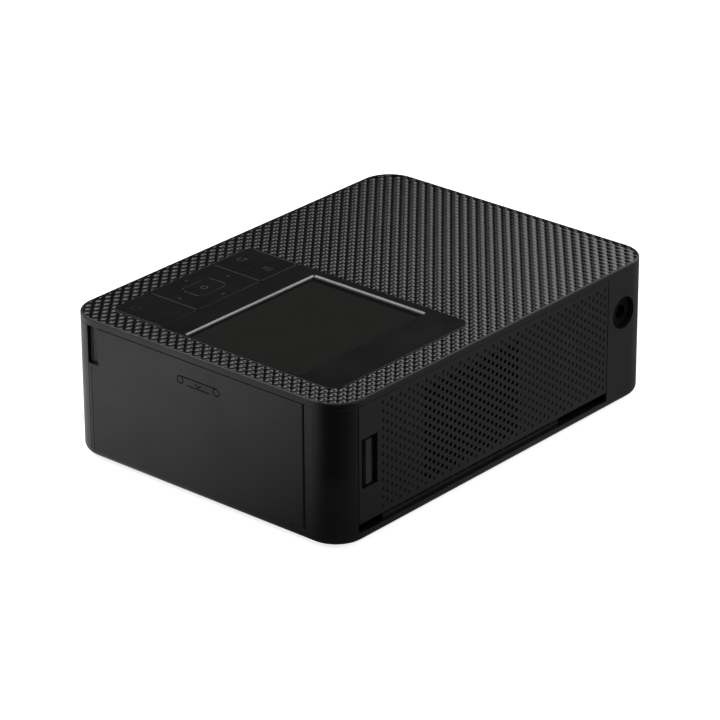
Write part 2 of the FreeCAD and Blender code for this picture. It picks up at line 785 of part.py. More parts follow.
def make_top_cover():
    piece = Piece("top_cover")
    piece.slab("Pad", (LEFT, RIGHT), (FRONT, BACK), "corner_radius", ("seam_height", "body_height"))
    top = size("body_height")
    seam = size("seam_height")
    piece.fillet("rim_rounding", lambda edge: at_height(edge, top))
    piece.fillet("seam_gap", lambda edge: at_height(edge, seam))
    inset_x = (LEFT + " + wall", RIGHT + " - wall")
    inset_y = (FRONT + " + wall", BACK + " - wall")
    piece.slab("Pocket", inset_x, inset_y, "corner_radius - wall",
               ("seam_height - overrun", "cover_underside"))
    rim_x = (LEFT + " + rim_width", RIGHT + " - rim_width")
    rim_y = (FRONT + " + rim_width", BACK + " - rim_width")
    piece.slab("Pocket", rim_x, rim_y, "corner_radius - rim_width",
               ("body_height - texture_depth", "body_height + overrun"))
    panel_x = ("panel_left - panel_fit", "panel_right + panel_fit")
    panel_y = ("panel_front - panel_fit", "panel_back + panel_fit")
    piece.slab("Pocket", panel_x, panel_y, "panel_corner + panel_fit",
               (PANEL_SEAT, "body_height + overrun"))
    through = ("cover_underside - overrun", PANEL_SEAT + " + overrun")
    piece.block("Pocket", ("window_left + window_ledge", "window_right - window_ledge"),
                ("window_front + window_ledge", "window_back - window_ledge"), through)
    piece.block("Pocket", ("keys_left", "keys_right"), ("keys_front", "keys_back"), through)
    posts = board_posts()
    piece.disc("Pad", "XY_Plane", posts, "board_post_radius", "button_board_top",
               "cover_underside + rim_width / 2")
    pin_hole_top = "seam_height + door_pin_length / 2 + moving_clearance"
    piece.disc("Pocket", "XY_Plane", [(door_axis_x(), door_axis_y())],
               "door_pin_radius + shaft_clearance", "seam_height - overrun", pin_hole_top)
    for across, along in casing_posts():
        sketch = piece.sketch("XY_Plane", "post_top", "cover_underside + rim_width / 2")
        piece.circle(sketch, across, along, "post_radius")
        piece.feature("Pad", sketch, "post_top", "cover_underside + rim_width / 2")
    piece.disc("Pocket", "XY_Plane", casing_posts(), "screw_radius - shaft_clearance",
               "post_top - overrun", SCREW_TIP)
    keep(piece.body, "top_cover")


def board_posts():
    """Posts under the cover that carry the button board."""
    front = "(keys_front - board_post_radius - key_gap)"
    back = "(window_front - board_post_radius)"
    return [
        ("(window_left + board_post_radius)", front),
        ("(window_right - board_post_radius * 2)", front),
        ("(window_left + board_post_radius)", back),
        ("(window_right - board_post_radius)", back),
    ]


def make_control_panel():
    piece = Piece("control_panel")
    piece.slab("Pad", ("panel_left", "panel_right"), ("panel_front", "panel_back"),
               "panel_corner", (PANEL_SEAT, "panel_top"))
    through = (PANEL_SEAT + " - overrun", "panel_top + overrun")
    piece.slab("Pocket", ("window_left", "window_right"), ("window_front", "window_back"),
               "window_corner", through)
    piece.block("Pocket", ("keys_left", "keys_right"), ("keys_front", "keys_back"), through)
    round_top(piece)
    keep(piece.body, "control_panel")


def make_display():
    window = Piece("lcd_window")
    fit = "panel_fit"
    window.slab("Pad", ("window_left + " + fit, "window_right - " + fit),
                ("window_front + " + fit, "window_back - " + fit),
                "window_corner", (PANEL_SEAT, "panel_top - window_depth"))
    keep(window.body, "lcd_window")
    ledge = "(window_ledge + panel_fit)"
    module = box(("window_left + " + ledge, "window_right - " + ledge),
                 ("window_front + " + ledge, "window_back - " + ledge),
                 (PANEL_SEAT + " - module_thickness", PANEL_SEAT))
    keep(module, "lcd_module")


# Keys

STEM_BOTTOM = "(button_board_top + dome_height + stem_gap)"


def key_plate(name, x, y):
    piece = Piece(name)
    piece.slab("Pad", x, y, "key_corner", (PANEL_SEAT, "panel_top"))
    return piece


def round_top(piece):
    """Rounds all edges that lie at the height of the panel."""
    top = size("panel_top")
    piece.fillet("key_rounding", lambda edge: at_height(edge, top))


def add_stems(piece, places):
    piece.disc("Pad", "XY_Plane", places, "key_stem_radius", STEM_BOTTOM,
               "panel_top - panel_thickness / 2")


KEY_Y = ("keys_front + key_gap", "keys_back - key_gap")
KEY_MIDDLE = "((keys_front + keys_back) / 2)"
LEFT_MIDDLE = "((keys_left + left_key_seam) / 2)"
CENTRE_MIDDLE = "((left_key_seam + right_key_seam) / 2)"
RIGHT_MIDDLE = "((right_key_seam + keys_right) / 2)"


def rocker_stems():
    return [
        (LEFT_MIDDLE, KEY_MIDDLE + " - rocker_stem_offset"),
        (LEFT_MIDDLE, KEY_MIDDLE + " + rocker_stem_offset"),
    ]


def dpad_stems():
    return [
        (CENTRE_MIDDLE + " - dpad_stem_offset_across", KEY_MIDDLE),
        (CENTRE_MIDDLE + " + dpad_stem_offset_across", KEY_MIDDLE),
        (CENTRE_MIDDLE, KEY_MIDDLE + " - dpad_stem_offset_along"),
        (CENTRE_MIDDLE, KEY_MIDDLE + " + dpad_stem_offset_along"),
    ]


def make_menu_rocker():
    piece = key_plate("menu_rocker", ("keys_left + key_gap", "left_key_seam - key_gap / 2"), KEY_Y)
    round_top(piece)
    ridge_y = (KEY_MIDDLE + " - ridge_width / 2", KEY_MIDDLE + " + ridge_width / 2")
    piece.block("Pad", ("ridge_left", "ridge_right"), ridge_y,
                ("panel_top - ridge_height", "panel_top + ridge_height"))
    add_stems(piece, rocker_stems())
    keep(piece.body, "menu_rocker")


def make_dpad():
    piece = key_plate("dpad_plate", ("left_key_seam + key_gap / 2", "right_key_seam - key_gap / 2"),
                      KEY_Y)
    piece.slab("Pocket", ("ok_left - key_gap", "ok_right + key_gap"),
               ("ok_front - key_gap", "ok_back + key_gap"), "ok_corner + key_gap",
               (PANEL_SEAT + " - overrun", "panel_top + overrun"))
    round_top(piece)
    add_stems(piece, dpad_stems())
    keep(piece.body, "dpad_plate")
    ring_top = PANEL_SEAT + " - moving_clearance"
    ring_bottom = ring_top + " - pivot_ring_height"
    inner_x = ("ok_left - key_gap", "ok_right + key_gap")
    inner_y = ("ok_front - key_gap", "ok_back + key_gap")
    outer = box((inner_x[0] + " - pivot_ring_width", inner_x[1] + " + pivot_ring_width"),
                (inner_y[0] + " - pivot_ring_width", inner_y[1] + " + pivot_ring_width"),
                (ring_bottom, ring_top))
    hole = box(inner_x, inner_y, (ring_bottom + " - overrun", ring_top + " + overrun"))
    keep(less(outer, [hole]), "dpad_pivot_ring")


def make_ok_button():
    piece = Piece("ok_button")
    piece.slab("Pad", ("ok_left", "ok_right"), ("ok_front", "ok_back"), "ok_corner",
               (PANEL_SEAT, "panel_top"))
    round_top(piece)
    add_stems(piece, [(CENTRE_MIDDLE, KEY_MIDDLE)])
    keep(piece.body, "ok_button")


def make_print_button():
    piece = key_plate("print_button", ("right_key_seam + key_gap / 2", "keys_right - key_gap"), KEY_Y)
    round_top(piece)
    add_stems(piece, [(RIGHT_MIDDLE, KEY_MIDDLE)])
    keep(piece.body, "print_button")


def make_button_board():
    board = box(("keys_left", "keys_right - board_post_radius"),
                ("keys_front - board_post_radius * 2 - key_gap", "window_front"),
                ("button_board_top - board_thickness", "button_board_top"))
    keep(board, "button_board")
    domes = []
    places = rocker_stems() + dpad_stems() + [(CENTRE_MIDDLE, KEY_MIDDLE), (RIGHT_MIDDLE, KEY_MIDDLE)]
    for across, along in places:
        domes.append(rod_z(across, along, "dome_radius",
                           ("button_board_top", "button_board_top + dome_height")))
    keep(group(domes), "dome_switches")


# Rear of the casing

def field_of_holes():
    """Centres of all holes, with a flag for those that go right through."""
    places = []
    for row in range(HOLE_ROWS):
        shifted = row % 2
        for column in range(HOLE_COLUMNS - shifted):
            across = size("hole_first_column") - size("hole_pitch") * (column + shifted / 2)
            up = size("hole_first_row") - size("hole_row_pitch") * row
            last = FIRST_OPEN_COLUMN + OPEN_COLUMNS - shifted
            inside = FIRST_OPEN_ROW <= row <= LAST_OPEN_ROW
            through = inside and FIRST_OPEN_COLUMN <= column < last
            places.append((across, up, through))
    return places


def plate_with_holes(front_y, thickness, holes):
    corners = [
        Vector(size("grille_left"), front_y, size("grille_bottom")),
        Vector(size("grille_right"), front_y, size("grille_bottom")),
        Vector(size("grille_right"), front_y, size("grille_top")),
        Vector(size("grille_left"), front_y, size("grille_top")),
    ]
    outline = Part.makePolygon(corners + corners[:1])
    wires = [outline]
    for across, up in holes:
        circle = Part.Circle(Vector(across, front_y, up), Vector(0, 1, 0), size("hole_radius"))
        wires.append(Part.Wire(circle.toShape()))
    face = Part.makeFace(wires, "Part::FaceMakerBullseye")
    return face.extrude(Vector(0, thickness, 0))


def make_rear_grille():
    face_y = size("body_depth") / 2 - size("grille_setback")
    inside_y = face_y - size("grille_thickness")
    dimple_y = face_y - size("dimple_depth")
    field = field_of_holes()
    blind = [(across, up) for across, up, through in field if not through]
    opened = [(across, up) for across, up, through in field if through]
    plate = plate_with_holes(inside_y, size("grille_thickness"), opened)
    dimples = [Part.makeCylinder(size("hole_radius"), size("dimple_depth") + size("overrun"),
                                 Vector(across, dimple_y, up), Vector(0, 1, 0))
               for across, up in blind]
    catch = Part.makeBox(
        size("catch_right") - size("catch_left"), size("grille_thickness") + size("overrun") * 2,
        size("catch_top") - size("catch_bottom"),
        Vector(size("catch_left"), inside_y - size("overrun"), size("catch_bottom")))
    plate = plate.cut(Part.makeCompound(dimples)).cut(catch)
    feature = document.addObject("Part::Feature", "rear_grille")
    feature.Shape = plate
    keep(feature, "rear_grille")


def make_battery_catch():
    face = GRILLE_INSIDE
    outer = box(("catch_left - catch_wall", "catch_right + catch_wall"),
                (face + " - catch_depth - catch_wall", face),
                ("catch_bottom - catch_wall", "catch_top + catch_wall"))
    cavity = box(("catch_left", "catch_right"), (face + " - catch_depth", face + " + overrun"),
                 ("catch_bottom", "catch_top"))
    bar = box(("catch_bar_left", "catch_bar_right"),
              (face + " - catch_depth - catch_wall / 2",
               face + " + grille_thickness - catch_bar_setback"),
              ("catch_bottom + catch_bar_end_gap", "catch_top - catch_bar_end_gap"))
    keep(joined([less(outer, [cavity]), bar]), "battery_catch")


def make_power_inlet():
    mouth = BACK + " - jack_setback"
    shell = rod_y("jack_across", "jack_height", "jack_radius", (mouth + " - jack_length", mouth))
    bore = rod_y("jack_across", "jack_height", "jack_bore_radius",
                 (mouth + " - jack_bore_depth", mouth + " + overrun"))
    pin = rod_y("jack_across", "jack_height", "jack_pin_radius",
                (mouth + " - jack_bore_depth", mouth + " - jack_pin_setback"))
    keep(group([less(shell, [bore]), pin]), "dc_jack")


# Ink door

def door_axis_x():
    return "(body_width / 2 - wall / 2)"


def door_axis_y():
    return "(door_back - wall / 2)"


def make_ink_door():
    piece = Piece("ink_door")
    inner = RIGHT + " - wall"
    piece.block("Pad", (inner, RIGHT), ("door_front", "door_back"),
                ("foot_height", "seam_height - seam_gap"))
    piece.block("Pad", (RIGHT + " - door_lip", RIGHT), ("door_front", "door_back - door_hinge_run"),
                ("foot_height", "foot_height + floor_thickness"))
    corner = size("body_width") / 2
    bottom = size("foot_height")
    near = size("seam_gap") * NEAR_SHARE
    piece.fillet("bottom_rounding", lambda edge: (
        at_height(edge, bottom) and abs(middle(edge).x - corner) < near
        and edge.BoundBox.YLength > size("door_lip")))
    piece.block("Pocket", (RIGHT + " - door_lip - overrun", RIGHT + " + overrun"),
                ("door_back - door_hinge_run", "door_back + overrun"),
                ("foot_height - overrun", "door_hinge_drop"))
    rear = size("door_back")
    piece.fillet("wall * %s" % END_ROUNDING_SHARE, lambda edge: (
        upright(edge) and abs(middle(edge).y - rear) < near))
    notch = [
        (RIGHT + " + overrun", "notch_back"),
        (RIGHT, "notch_back"),
        (RIGHT + " - notch_depth", "notch_back - notch_depth"),
        (RIGHT + " - notch_depth", "door_front - overrun"),
        (RIGHT + " + overrun", "door_front - overrun"),
    ]
    piece.prism("Pocket", "XY_Plane", notch, "notch_bottom", "seam_height + overrun")
    axis = [(door_axis_x(), door_axis_y())]
    half = "door_pin_length / 2"
    piece.disc("Pad", "XY_Plane", axis, "door_pin_radius",
               "door_hinge_drop - " + half, "door_hinge_drop + " + half)
    top = "(seam_height - seam_gap)"
    piece.disc("Pad", "XY_Plane", axis, "door_pin_radius", top + " - " + half, top + " + " + half)
    keep(piece.body, "ink_door")


# Front bezel and cassette cover

COVER_LEFT = "(cover_centre - cover_width / 2)"
COVER_RIGHT = "(cover_centre + cover_width / 2)"
COVER_AXIS_Y = "(wall / 2 - body_depth / 2)"
COVER_AXIS_Z = "(cover_bottom + wall / 2)"


def make_front_bezel():
    piece = Piece("front_bezel")
    top = "seam_height"
    piece.slab("Pad", (LEFT, RIGHT), (FRONT, BACK), "corner_radius", ("bezel_bottom", top))
    piece.slab("Pocket", (LEFT + " + wall", RIGHT + " - wall"), (FRONT + " + wall", BACK + " - wall"),
               "corner_radius - wall", ("bezel_bottom - overrun", top + " + overrun"))
    piece.block("Pocket", (LEFT + " - overrun", RIGHT + " + overrun"),
                ("bezel_seam", BACK + " + overrun"), ("bezel_bottom - overrun", top + " + overrun"))
    gap = "moving_clearance"
    through = (FRONT + " - overrun", FRONT + " + wall + overrun")
    piece.block("Pocket", (COVER_LEFT + " - " + gap, COVER_RIGHT + " + " + gap), through,
                ("cover_bottom - " + gap, "cover_top + " + gap))
    card_x = "((card_left + card_right) / 2)"
    piece.block("Pocket", (card_x + " - card_slot_width / 2", card_x + " + card_slot_width / 2"),
                through, ("card_board_top + card_wall", "card_board_top + card_height - card_wall"))
    piece.disc("Pocket", "YZ_Plane", [(COVER_AXIS_Y, COVER_AXIS_Z)],
               "cover_pin_radius + shaft_clearance",
               COVER_LEFT + " - cover_pin_length / 2 - pin_end_gap",
               COVER_RIGHT + " + cover_pin_length / 2 + pin_end_gap")
    keep(piece.body, "front_bezel")


def make_front_cover():
    piece = Piece("front_cover")
    piece.block("Pad", (COVER_LEFT, COVER_RIGHT), (FRONT, FRONT + " + wall"),
                ("cover_bottom", "cover_top"))
    bottom = size("cover_bottom")
    piece.fillet("wall * %s" % END_ROUNDING_SHARE, lambda edge: (
        at_height(edge, bottom) and edge.BoundBox.XLength > size("grip_width")))
    grip_x = ("cover_centre - grip_width / 2", "cover_centre + grip_width / 2")
    piece.block("Pocket", grip_x, (FRONT + " - overrun", FRONT + " + grip_depth"),
                ("cover_top - grip_height", "cover_top + overrun"))
    half = "cover_pin_length / 2"
    for end in (COVER_LEFT, COVER_RIGHT):
        piece.disc("Pad", "YZ_Plane", [(COVER_AXIS_Y, COVER_AXIS_Z)], "cover_pin_radius",
                   end + " - " + half, end + " + " + half)
    keep(piece.body, "front_cover")


# Mechanism frames

PINCH_HEIGHT = "(feed_height + feed_radius + moving_clearance + pinch_radius)"
HEAD_FRONT = "(platen_along - head_width / 2)"
HEAD_BACK = "(platen_along + head_width / 2)"
CARRIAGE_BOTTOM = "(head_bottom + head_plate_height + sink_height)"
CARRIAGE_TOP = "(head_bottom + head_plate_height + sink_height + carriage_height)"
UPPER_PIN = "(%s - guide_pin_radius - carriage_sheet / 2)" % CARRIAGE_TOP
BRIDGE_BOTTOM = "(spool_height - tub_radius)"
RIBBON_HEIGHT = "(platen_height + platen_radius + ribbon_lift)"


def shaft_places():
    return [
        ("platen_along", "platen_height"),
        ("feed_along", "feed_height"),
        ("pickup_along", "pickup_height"),
    ]


def frame_plate(name, x):
    piece = Piece(name)
    corners = [("frame_front", FLOOR), ("frame_back", FLOOR),
               ("frame_back", "frame_top"), ("frame_front", "frame_top")]
    piece.prism("Pad", "YZ_Plane", corners, x[0], x[1])
    cut = (x[0] + " - overrun", x[1] + " + overrun")
    piece.disc("Pocket", "YZ_Plane", shaft_places(), "bush_radius", cut[0], cut[1])
    piece.disc("Pocket", "YZ_Plane", [("feed_along", PINCH_HEIGHT)],
               "pinch_neck_radius + shaft_clearance", cut[0], cut[1])
    half = "(guide_pin_radius + moving_clearance)"
    slot = [
        ("platen_along - " + half, UPPER_PIN + " - guide_pin_spread - head_travel - " + half),
        ("platen_along + " + half, UPPER_PIN + " - guide_pin_spread - head_travel - " + half),
        ("platen_along + " + half, UPPER_PIN + " + " + half),
        ("platen_along - " + half, UPPER_PIN + " + " + half),
    ]
    piece.prism("Pocket", "YZ_Plane", slot, cut[0], cut[1])
    return piece, cut


def make_frames():
    left, cut = frame_plate("left_frame", (FRAME_OUTSIDE_LEFT, "frame_left"))
    left.disc("Pocket", "YZ_Plane", [("take_up_along", "spool_height")],
              "hub_radius + shaft_clearance", cut[0], cut[1])
    left.disc("Pocket", "YZ_Plane", [("motor_along", "motor_height")],
              "motor_boss_radius", cut[0], cut[1])
    keep(left.body, "left_frame")
    right, cut = frame_plate("right_frame", ("frame_right", FRAME_OUTSIDE_RIGHT))
    gap = "cassette_gap"
    for along in ("take_up_along", "supply_along"):
        right.disc("Pocket", "YZ_Plane", [(along, "spool_height")], "tub_radius + " + gap,
                   cut[0], cut[1])
    bridge = [
        ("take_up_along", BRIDGE_BOTTOM + " - " + gap),
        ("supply_along", BRIDGE_BOTTOM + " - " + gap),
        ("supply_along", BRIDGE_BOTTOM + " + bridge_height + " + gap),
        ("take_up_along", BRIDGE_BOTTOM + " + bridge_height + " + gap),
    ]
    right.prism("Pocket", "YZ_Plane", bridge, cut[0], cut[1])
    span = "(tub_radius + moving_clearance)"
    mouth = "(tub_radius / 2 + moving_clearance)"
    ribbon = [
        ("take_up_along + " + span, "platen_height + platen_radius"),
        ("supply_along - " + span, "platen_height + platen_radius"),
        ("supply_along - " + mouth, BRIDGE_BOTTOM + " + " + gap),
        ("take_up_along + " + mouth, BRIDGE_BOTTOM + " + " + gap),
    ]
    right.prism("Pocket", "YZ_Plane", ribbon, cut[0], cut[1])
    keep(right.body, "right_frame")


def make_cross_plates():
    front = box(("frame_left", "frame_right"), ("frame_front", "frame_front + frame_sheet"),
                ("cross_plate_bottom", "cross_plate_top"))
    keep(front, "front_cross_plate")
    face = ("rear_plate_face - frame_sheet", "rear_plate_face")
    rear = box(("frame_left", "frame_right"), face, ("rear_plate_bottom", "frame_top"))
    port = rod_y("fan_centre", "fan_height", "fan_bore_radius",
                 (face[0] + " - overrun", face[1] + " + overrun"))
    keep(less(rear, [port]), "rear_cross_plate")


def make_bushes():
    bushes = []
    for along, up in shaft_places():
        for sheet_middle in ("(frame_left - frame_sheet / 2)", "(frame_right + frame_sheet / 2)"):
            span = (sheet_middle + " - bush_length / 2", sheet_middle + " + bush_length / 2")
            ring = rod_x(along, up, "bush_radius", span)
            bore = rod_x(along, up, "roller_neck_radius + shaft_clearance",
                         (span[0] + " - overrun", span[1] + " + overrun"))
            bushes.append(less(ring, [bore]))
    keep(group(bushes), "shaft_bushes")


# Rollers

SHAFT_SPAN = (GEAR_OUTSIDE, "frame_right + frame_sheet + bush_length")


def make_platen():
    core = rod_x("platen_along", "platen_height", "platen_core_radius", ("roller_left", "roller_right"))
    neck = rod_x("platen_along", "platen_height", "roller_neck_radius", SHAFT_SPAN)
    keep(joined([core, neck]), "platen_shaft")
    tyre = rod_x("platen_along", "platen_height", "platen_radius", ("roller_left", "roller_right"))
    bore = rod_x("platen_along", "platen_height", "platen_core_radius",
                 ("roller_left - overrun", "roller_right + overrun"))
    keep(less(tyre, [bore]), "platen_rubber")


def make_feed_roller():
    drum = rod_x("feed_along", "feed_height", "feed_radius", ("roller_left", "roller_right"))
    neck = rod_x("feed_along", "feed_height", "roller_neck_radius", SHAFT_SPAN)
    keep(joined([drum, neck]), "feed_roller")
    pinch = rod_x("feed_along", PINCH_HEIGHT, "pinch_radius", ("roller_left", "roller_right"))
    neck = rod_x("feed_along", PINCH_HEIGHT, "pinch_neck_radius",
                 (FRAME_OUTSIDE_LEFT, FRAME_OUTSIDE_RIGHT))
    keep(joined([pinch, neck]), "pinch_roller")


def make_pickup_roller():
    shaft = rod_x("pickup_along", "pickup_height", "roller_neck_radius", SHAFT_SPAN)
    keep(shaft, "pickup_shaft")
    tyres = []
    for side in ("-", "+"):
        centre = "(cover_centre %s tyre_offset)" % side
        tyre = rod_x("pickup_along", "pickup_height", "tyre_radius",
                     (centre + " - tyre_width / 2", centre + " + tyre_width / 2"))
        bore = rod_x("pickup_along", "pickup_height", "roller_neck_radius",
                     (centre + " - tyre_width", centre + " + tyre_width"))
        tyres.append(less(tyre, [bore]))
    keep(group(tyres), "pickup_tyres")


# Gear train

def pitch_radius(teeth):
    return size("gear_module") * size(teeth) / 2


def third_corner(first, second, first_reach, second_reach, side):
    """Point at the given reaches from two places, on the left of the line for side +1."""
    across = second[0] - first[0]
    up = second[1] - first[1]
    span = math.hypot(across, up)
    along = (first_reach ** 2 - second_reach ** 2 + span ** 2) / (2 * span)
    off = side * math.sqrt(first_reach ** 2 - along ** 2)
    unit = (across / span, up / span)
    return (first[0] + along * unit[0] - off * unit[1], first[1] + along * unit[1] + off * unit[0])


def gear_places():
    """Centre of each gear in the side view, worked out along the train."""
    platen = (size("platen_along"), size("platen_height"))
    feed = (size("feed_along"), size("feed_height"))
    pickup = (size("pickup_along"), size("pickup_height"))
    motor = (size("motor_along"), size("motor_height"))
    hub = (size("take_up_along"), size("spool_height"))
    small = pitch_radius("small_teeth") + pitch_radius("roller_teeth")
    large_to_pinion = pitch_radius("large_teeth") + pitch_radius("pinion_teeth")
    large_to_roller = pitch_radius("large_teeth") + pitch_radius("roller_teeth")
    return {
        "motor_pinion": (motor, "pinion_teeth"),
        "reduction_gear": (third_corner(motor, feed, large_to_pinion, large_to_roller, 1),
                           "large_teeth"),
        "feed_gear": (feed, "roller_teeth"),
        "middle_idler_gear": (third_corner(feed, platen, small, small, -1), "small_teeth"),
        "platen_gear": (platen, "roller_teeth"),
        "pickup_idler_gear": (third_corner(platen, pickup, small, small, -1), "small_teeth"),
        "pickup_gear": (pickup, "roller_teeth"),
        "ribbon_idler_gear": (third_corner(pickup, hub, small, small, 1), "small_teeth"),
        "take_up_gear": (hub, "roller_teeth"),
    }


TRAIN = ["motor_pinion", "reduction_gear", "feed_gear", "middle_idler_gear", "platen_gear",
         "pickup_idler_gear", "pickup_gear", "ribbon_idler_gear", "take_up_gear"]


def gear_phases(places):
    """Angle of one tooth of each gear, so that each meshes with the one before."""
    phases = {TRAIN[0]: 0.0}
    for before, after in zip(TRAIN, TRAIN[1:]):
        centre_a, teeth_a = places[before]
        centre_b, teeth_b = places[after]
        line = math.atan2(centre_b[1] - centre_a[1], centre_b[0] - centre_a[0])
        step_a = 2 * math.pi / size(teeth_a)
        step_b = 2 * math.pi / size(teeth_b)
        share = (line - phases[before]) / step_a
        phases[after] = line + math.pi - (0.5 - share) * step_b
    return phases


def tooth_half_angle(teeth, radius):
    """Half the width of an involute tooth at a radius, as an angle."""
    pressure = math.radians(PRESSURE_ANGLE)
    pitch = pitch_radius(teeth)
    base = pitch * math.cos(pressure)
    slope = math.acos(min(1.0, base / radius))
    flat = math.pi / size(teeth) / 2 - size("gear_backlash") / pitch / 2
    return flat + (math.tan(pressure) - pressure) - (math.tan(slope) - slope)


def gear_shape(centre, teeth, phase, bore):
    pitch = pitch_radius(teeth)
    tip = pitch + size("gear_module") * TOOTH_TIP_SHARE
    root = pitch - size("gear_module") * TOOTH_ROOT_SHARE
    base = max(root, pitch * math.cos(math.radians(PRESSURE_ANGLE)))
    step = 2 * math.pi / size(teeth)
    start = worth(GEAR_OUTSIDE)
    flank = [root, base, pitch, tip]
    points = []
    for tooth in range(int(size(teeth))):
        middle_angle = phase + tooth * step
        for radius in flank:
            points.append((radius, middle_angle - tooth_half_angle(teeth, max(radius, base))))
        for radius in reversed(flank):
            points.append((radius, middle_angle + tooth_half_angle(teeth, max(radius, base))))
    corners = [Vector(start, centre[0] + radius * math.cos(angle), centre[1] + radius * math.sin(angle))
               for radius, angle in points]
    outline = Part.makePolygon(corners + corners[:1])
    width = Vector(size("gear_width"), 0, 0)
    solid = Part.Face(outline).extrude(width)
    hole = Part.makeCylinder(bore, size("gear_width") * 3,
                             Vector(start - size("gear_width"), centre[0], centre[1]), Vector(1, 0, 0))
    return solid.cut(hole)


def make_gears():
    places = gear_places()
    phases = gear_phases(places)
    stud_bore = size("stud_radius") + size("shaft_clearance")
    bores = {
        "motor_pinion": size("motor_shaft_radius"),
        "feed_gear": size("roller_neck_radius"),
        "platen_gear": size("roller_neck_radius"),
        "pickup_gear": size("roller_neck_radius"),
        "take_up_gear": size("hub_radius"),
    }
    for name in TRAIN:
        centre, teeth = places[name]
        feature = document.addObject("Part::Feature", name)
        shape = gear_shape(centre, teeth, phases[name], bores.get(name, stud_bore))
        if name == "take_up_gear":
            shape = shape.fuse(take_up_hub_shape(centre))
        feature.Shape = shape
        keep(feature, name)
    return places


def take_up_hub_shape(centre):
    """Shaft moulded on the take-up gear, which reaches into the spool."""
    start = worth(GEAR_OUTSIDE)
    reach = size("tub_left") + size("hub_reach") - start
    return Part.makeCylinder(size("hub_radius"), reach, Vector(start, centre[0], centre[1]),
                             Vector(1, 0, 0))


def make_gear_studs(places):
    """Studs on the left frame that carry the idlers, each with a head."""
    shapes = []
    for name in TRAIN:
        if "idler" not in name and name != "reduction_gear":
            continue
        centre = places[name][0]
        inner = size("frame_left") - size("frame_sheet")
        reach = size("gear_space") + size("gear_width") + size("moving_clearance")
        shaft = Part.makeCylinder(size("stud_radius"), reach,
                                  Vector(inner, centre[0], centre[1]), Vector(-1, 0, 0))
        head = Part.makeCylinder(size("stud_head_radius"), size("stud_head_width"),
                                 Vector(inner - reach, centre[0], centre[1]), Vector(-1, 0, 0))
        collar = Part.makeCylinder(size("stud_head_radius"), size("gear_space") - size("moving_clearance"),
                                   Vector(inner, centre[0], centre[1]), Vector(-1, 0, 0))
        shapes.append(shaft.fuse([head, collar]))
    feature = document.addObject("Part::Feature", "gear_studs")
    feature.Shape = Part.makeCompound(shapes)
    keep(feature, "gear_studs")


def make_feed_motor():
    can = rod_x("motor_along", "motor_height", "motor_radius",
                ("frame_left", "frame_left + motor_length"))
    boss = rod_x("motor_along", "motor_height", "motor_boss_radius",
                 (FRAME_OUTSIDE_LEFT, "frame_left"))
    bore = rod_x("motor_along", "motor_height", "motor_shaft_radius + shaft_clearance",
                 (FRAME_OUTSIDE_LEFT + " - overrun", "frame_left + motor_length + overrun"))
    keep(less(joined([can, boss]), [bore]), "feed_motor")
    shaft = rod_x("motor_along", "motor_height", "motor_shaft_radius",
                  (GEAR_OUTSIDE, "frame_left + motor_length + overrun"))
    keep(shaft, "motor_shaft")


# Print head

def make_head():
    plate = box(("head_left", "head_right"), (HEAD_FRONT, HEAD_BACK),
                ("head_bottom + glaze_height", "head_bottom + head_plate_height"))
    glaze = box(("head_left", "head_right"),
                ("platen_along - glaze_width / 2", "platen_along + glaze_width / 2"),
                ("head_bottom", "head_bottom + glaze_height"))
    keep(joined([plate, glaze]), "thermal_head")
    low = "(head_bottom + head_plate_height)"
    block = box(("head_left", "head_right"), (HEAD_FRONT, HEAD_BACK), (low, low + " + sink_height"))
    grooves = []
    for number in range(SINK_GROOVES):
        share = (number + 0.5) / SINK_GROOVES
        centre = "(%s + head_width * %s)" % (HEAD_FRONT, share)
        grooves.append(box(("head_left - overrun", "head_right + overrun"),
                           (centre + " - sink_groove / 2", centre + " + sink_groove / 2"),
                           (low + " + sink_height / 3", low + " + sink_height + overrun")))
    keep(less(block, grooves), "heat_sink")


def make_head_carriage():
    outer = box(("head_left", "head_right"), (HEAD_FRONT, HEAD_BACK), (CARRIAGE_BOTTOM, CARRIAGE_TOP))
    hollow = box(("head_left + carriage_sheet", "head_right - carriage_sheet"),
                 (HEAD_FRONT + " - overrun", HEAD_BACK + " + overrun"),
                 (CARRIAGE_BOTTOM + " + carriage_sheet", CARRIAGE_TOP + " - carriage_sheet"))
    pins = []
    for drop in ("0", "guide_pin_spread"):
        level = "(%s - %s)" % (UPPER_PIN, drop)
        pins.append(rod_x("platen_along", level, "guide_pin_radius",
                          (FRAME_OUTSIDE_LEFT + " - guide_pin_inset", "head_left + overrun")))
        pins.append(rod_x("platen_along", level, "guide_pin_radius",
                          ("head_right - overrun", FRAME_OUTSIDE_RIGHT + " + guide_pin_inset")))
    keep(joined([less(outer, [hollow])] + pins), "head_carriage")


# Ink cassette

def spool_span():
    return ("(tub_left + tub_wall + spool_end_gap)", "(tub_right - spool_end_gap)")


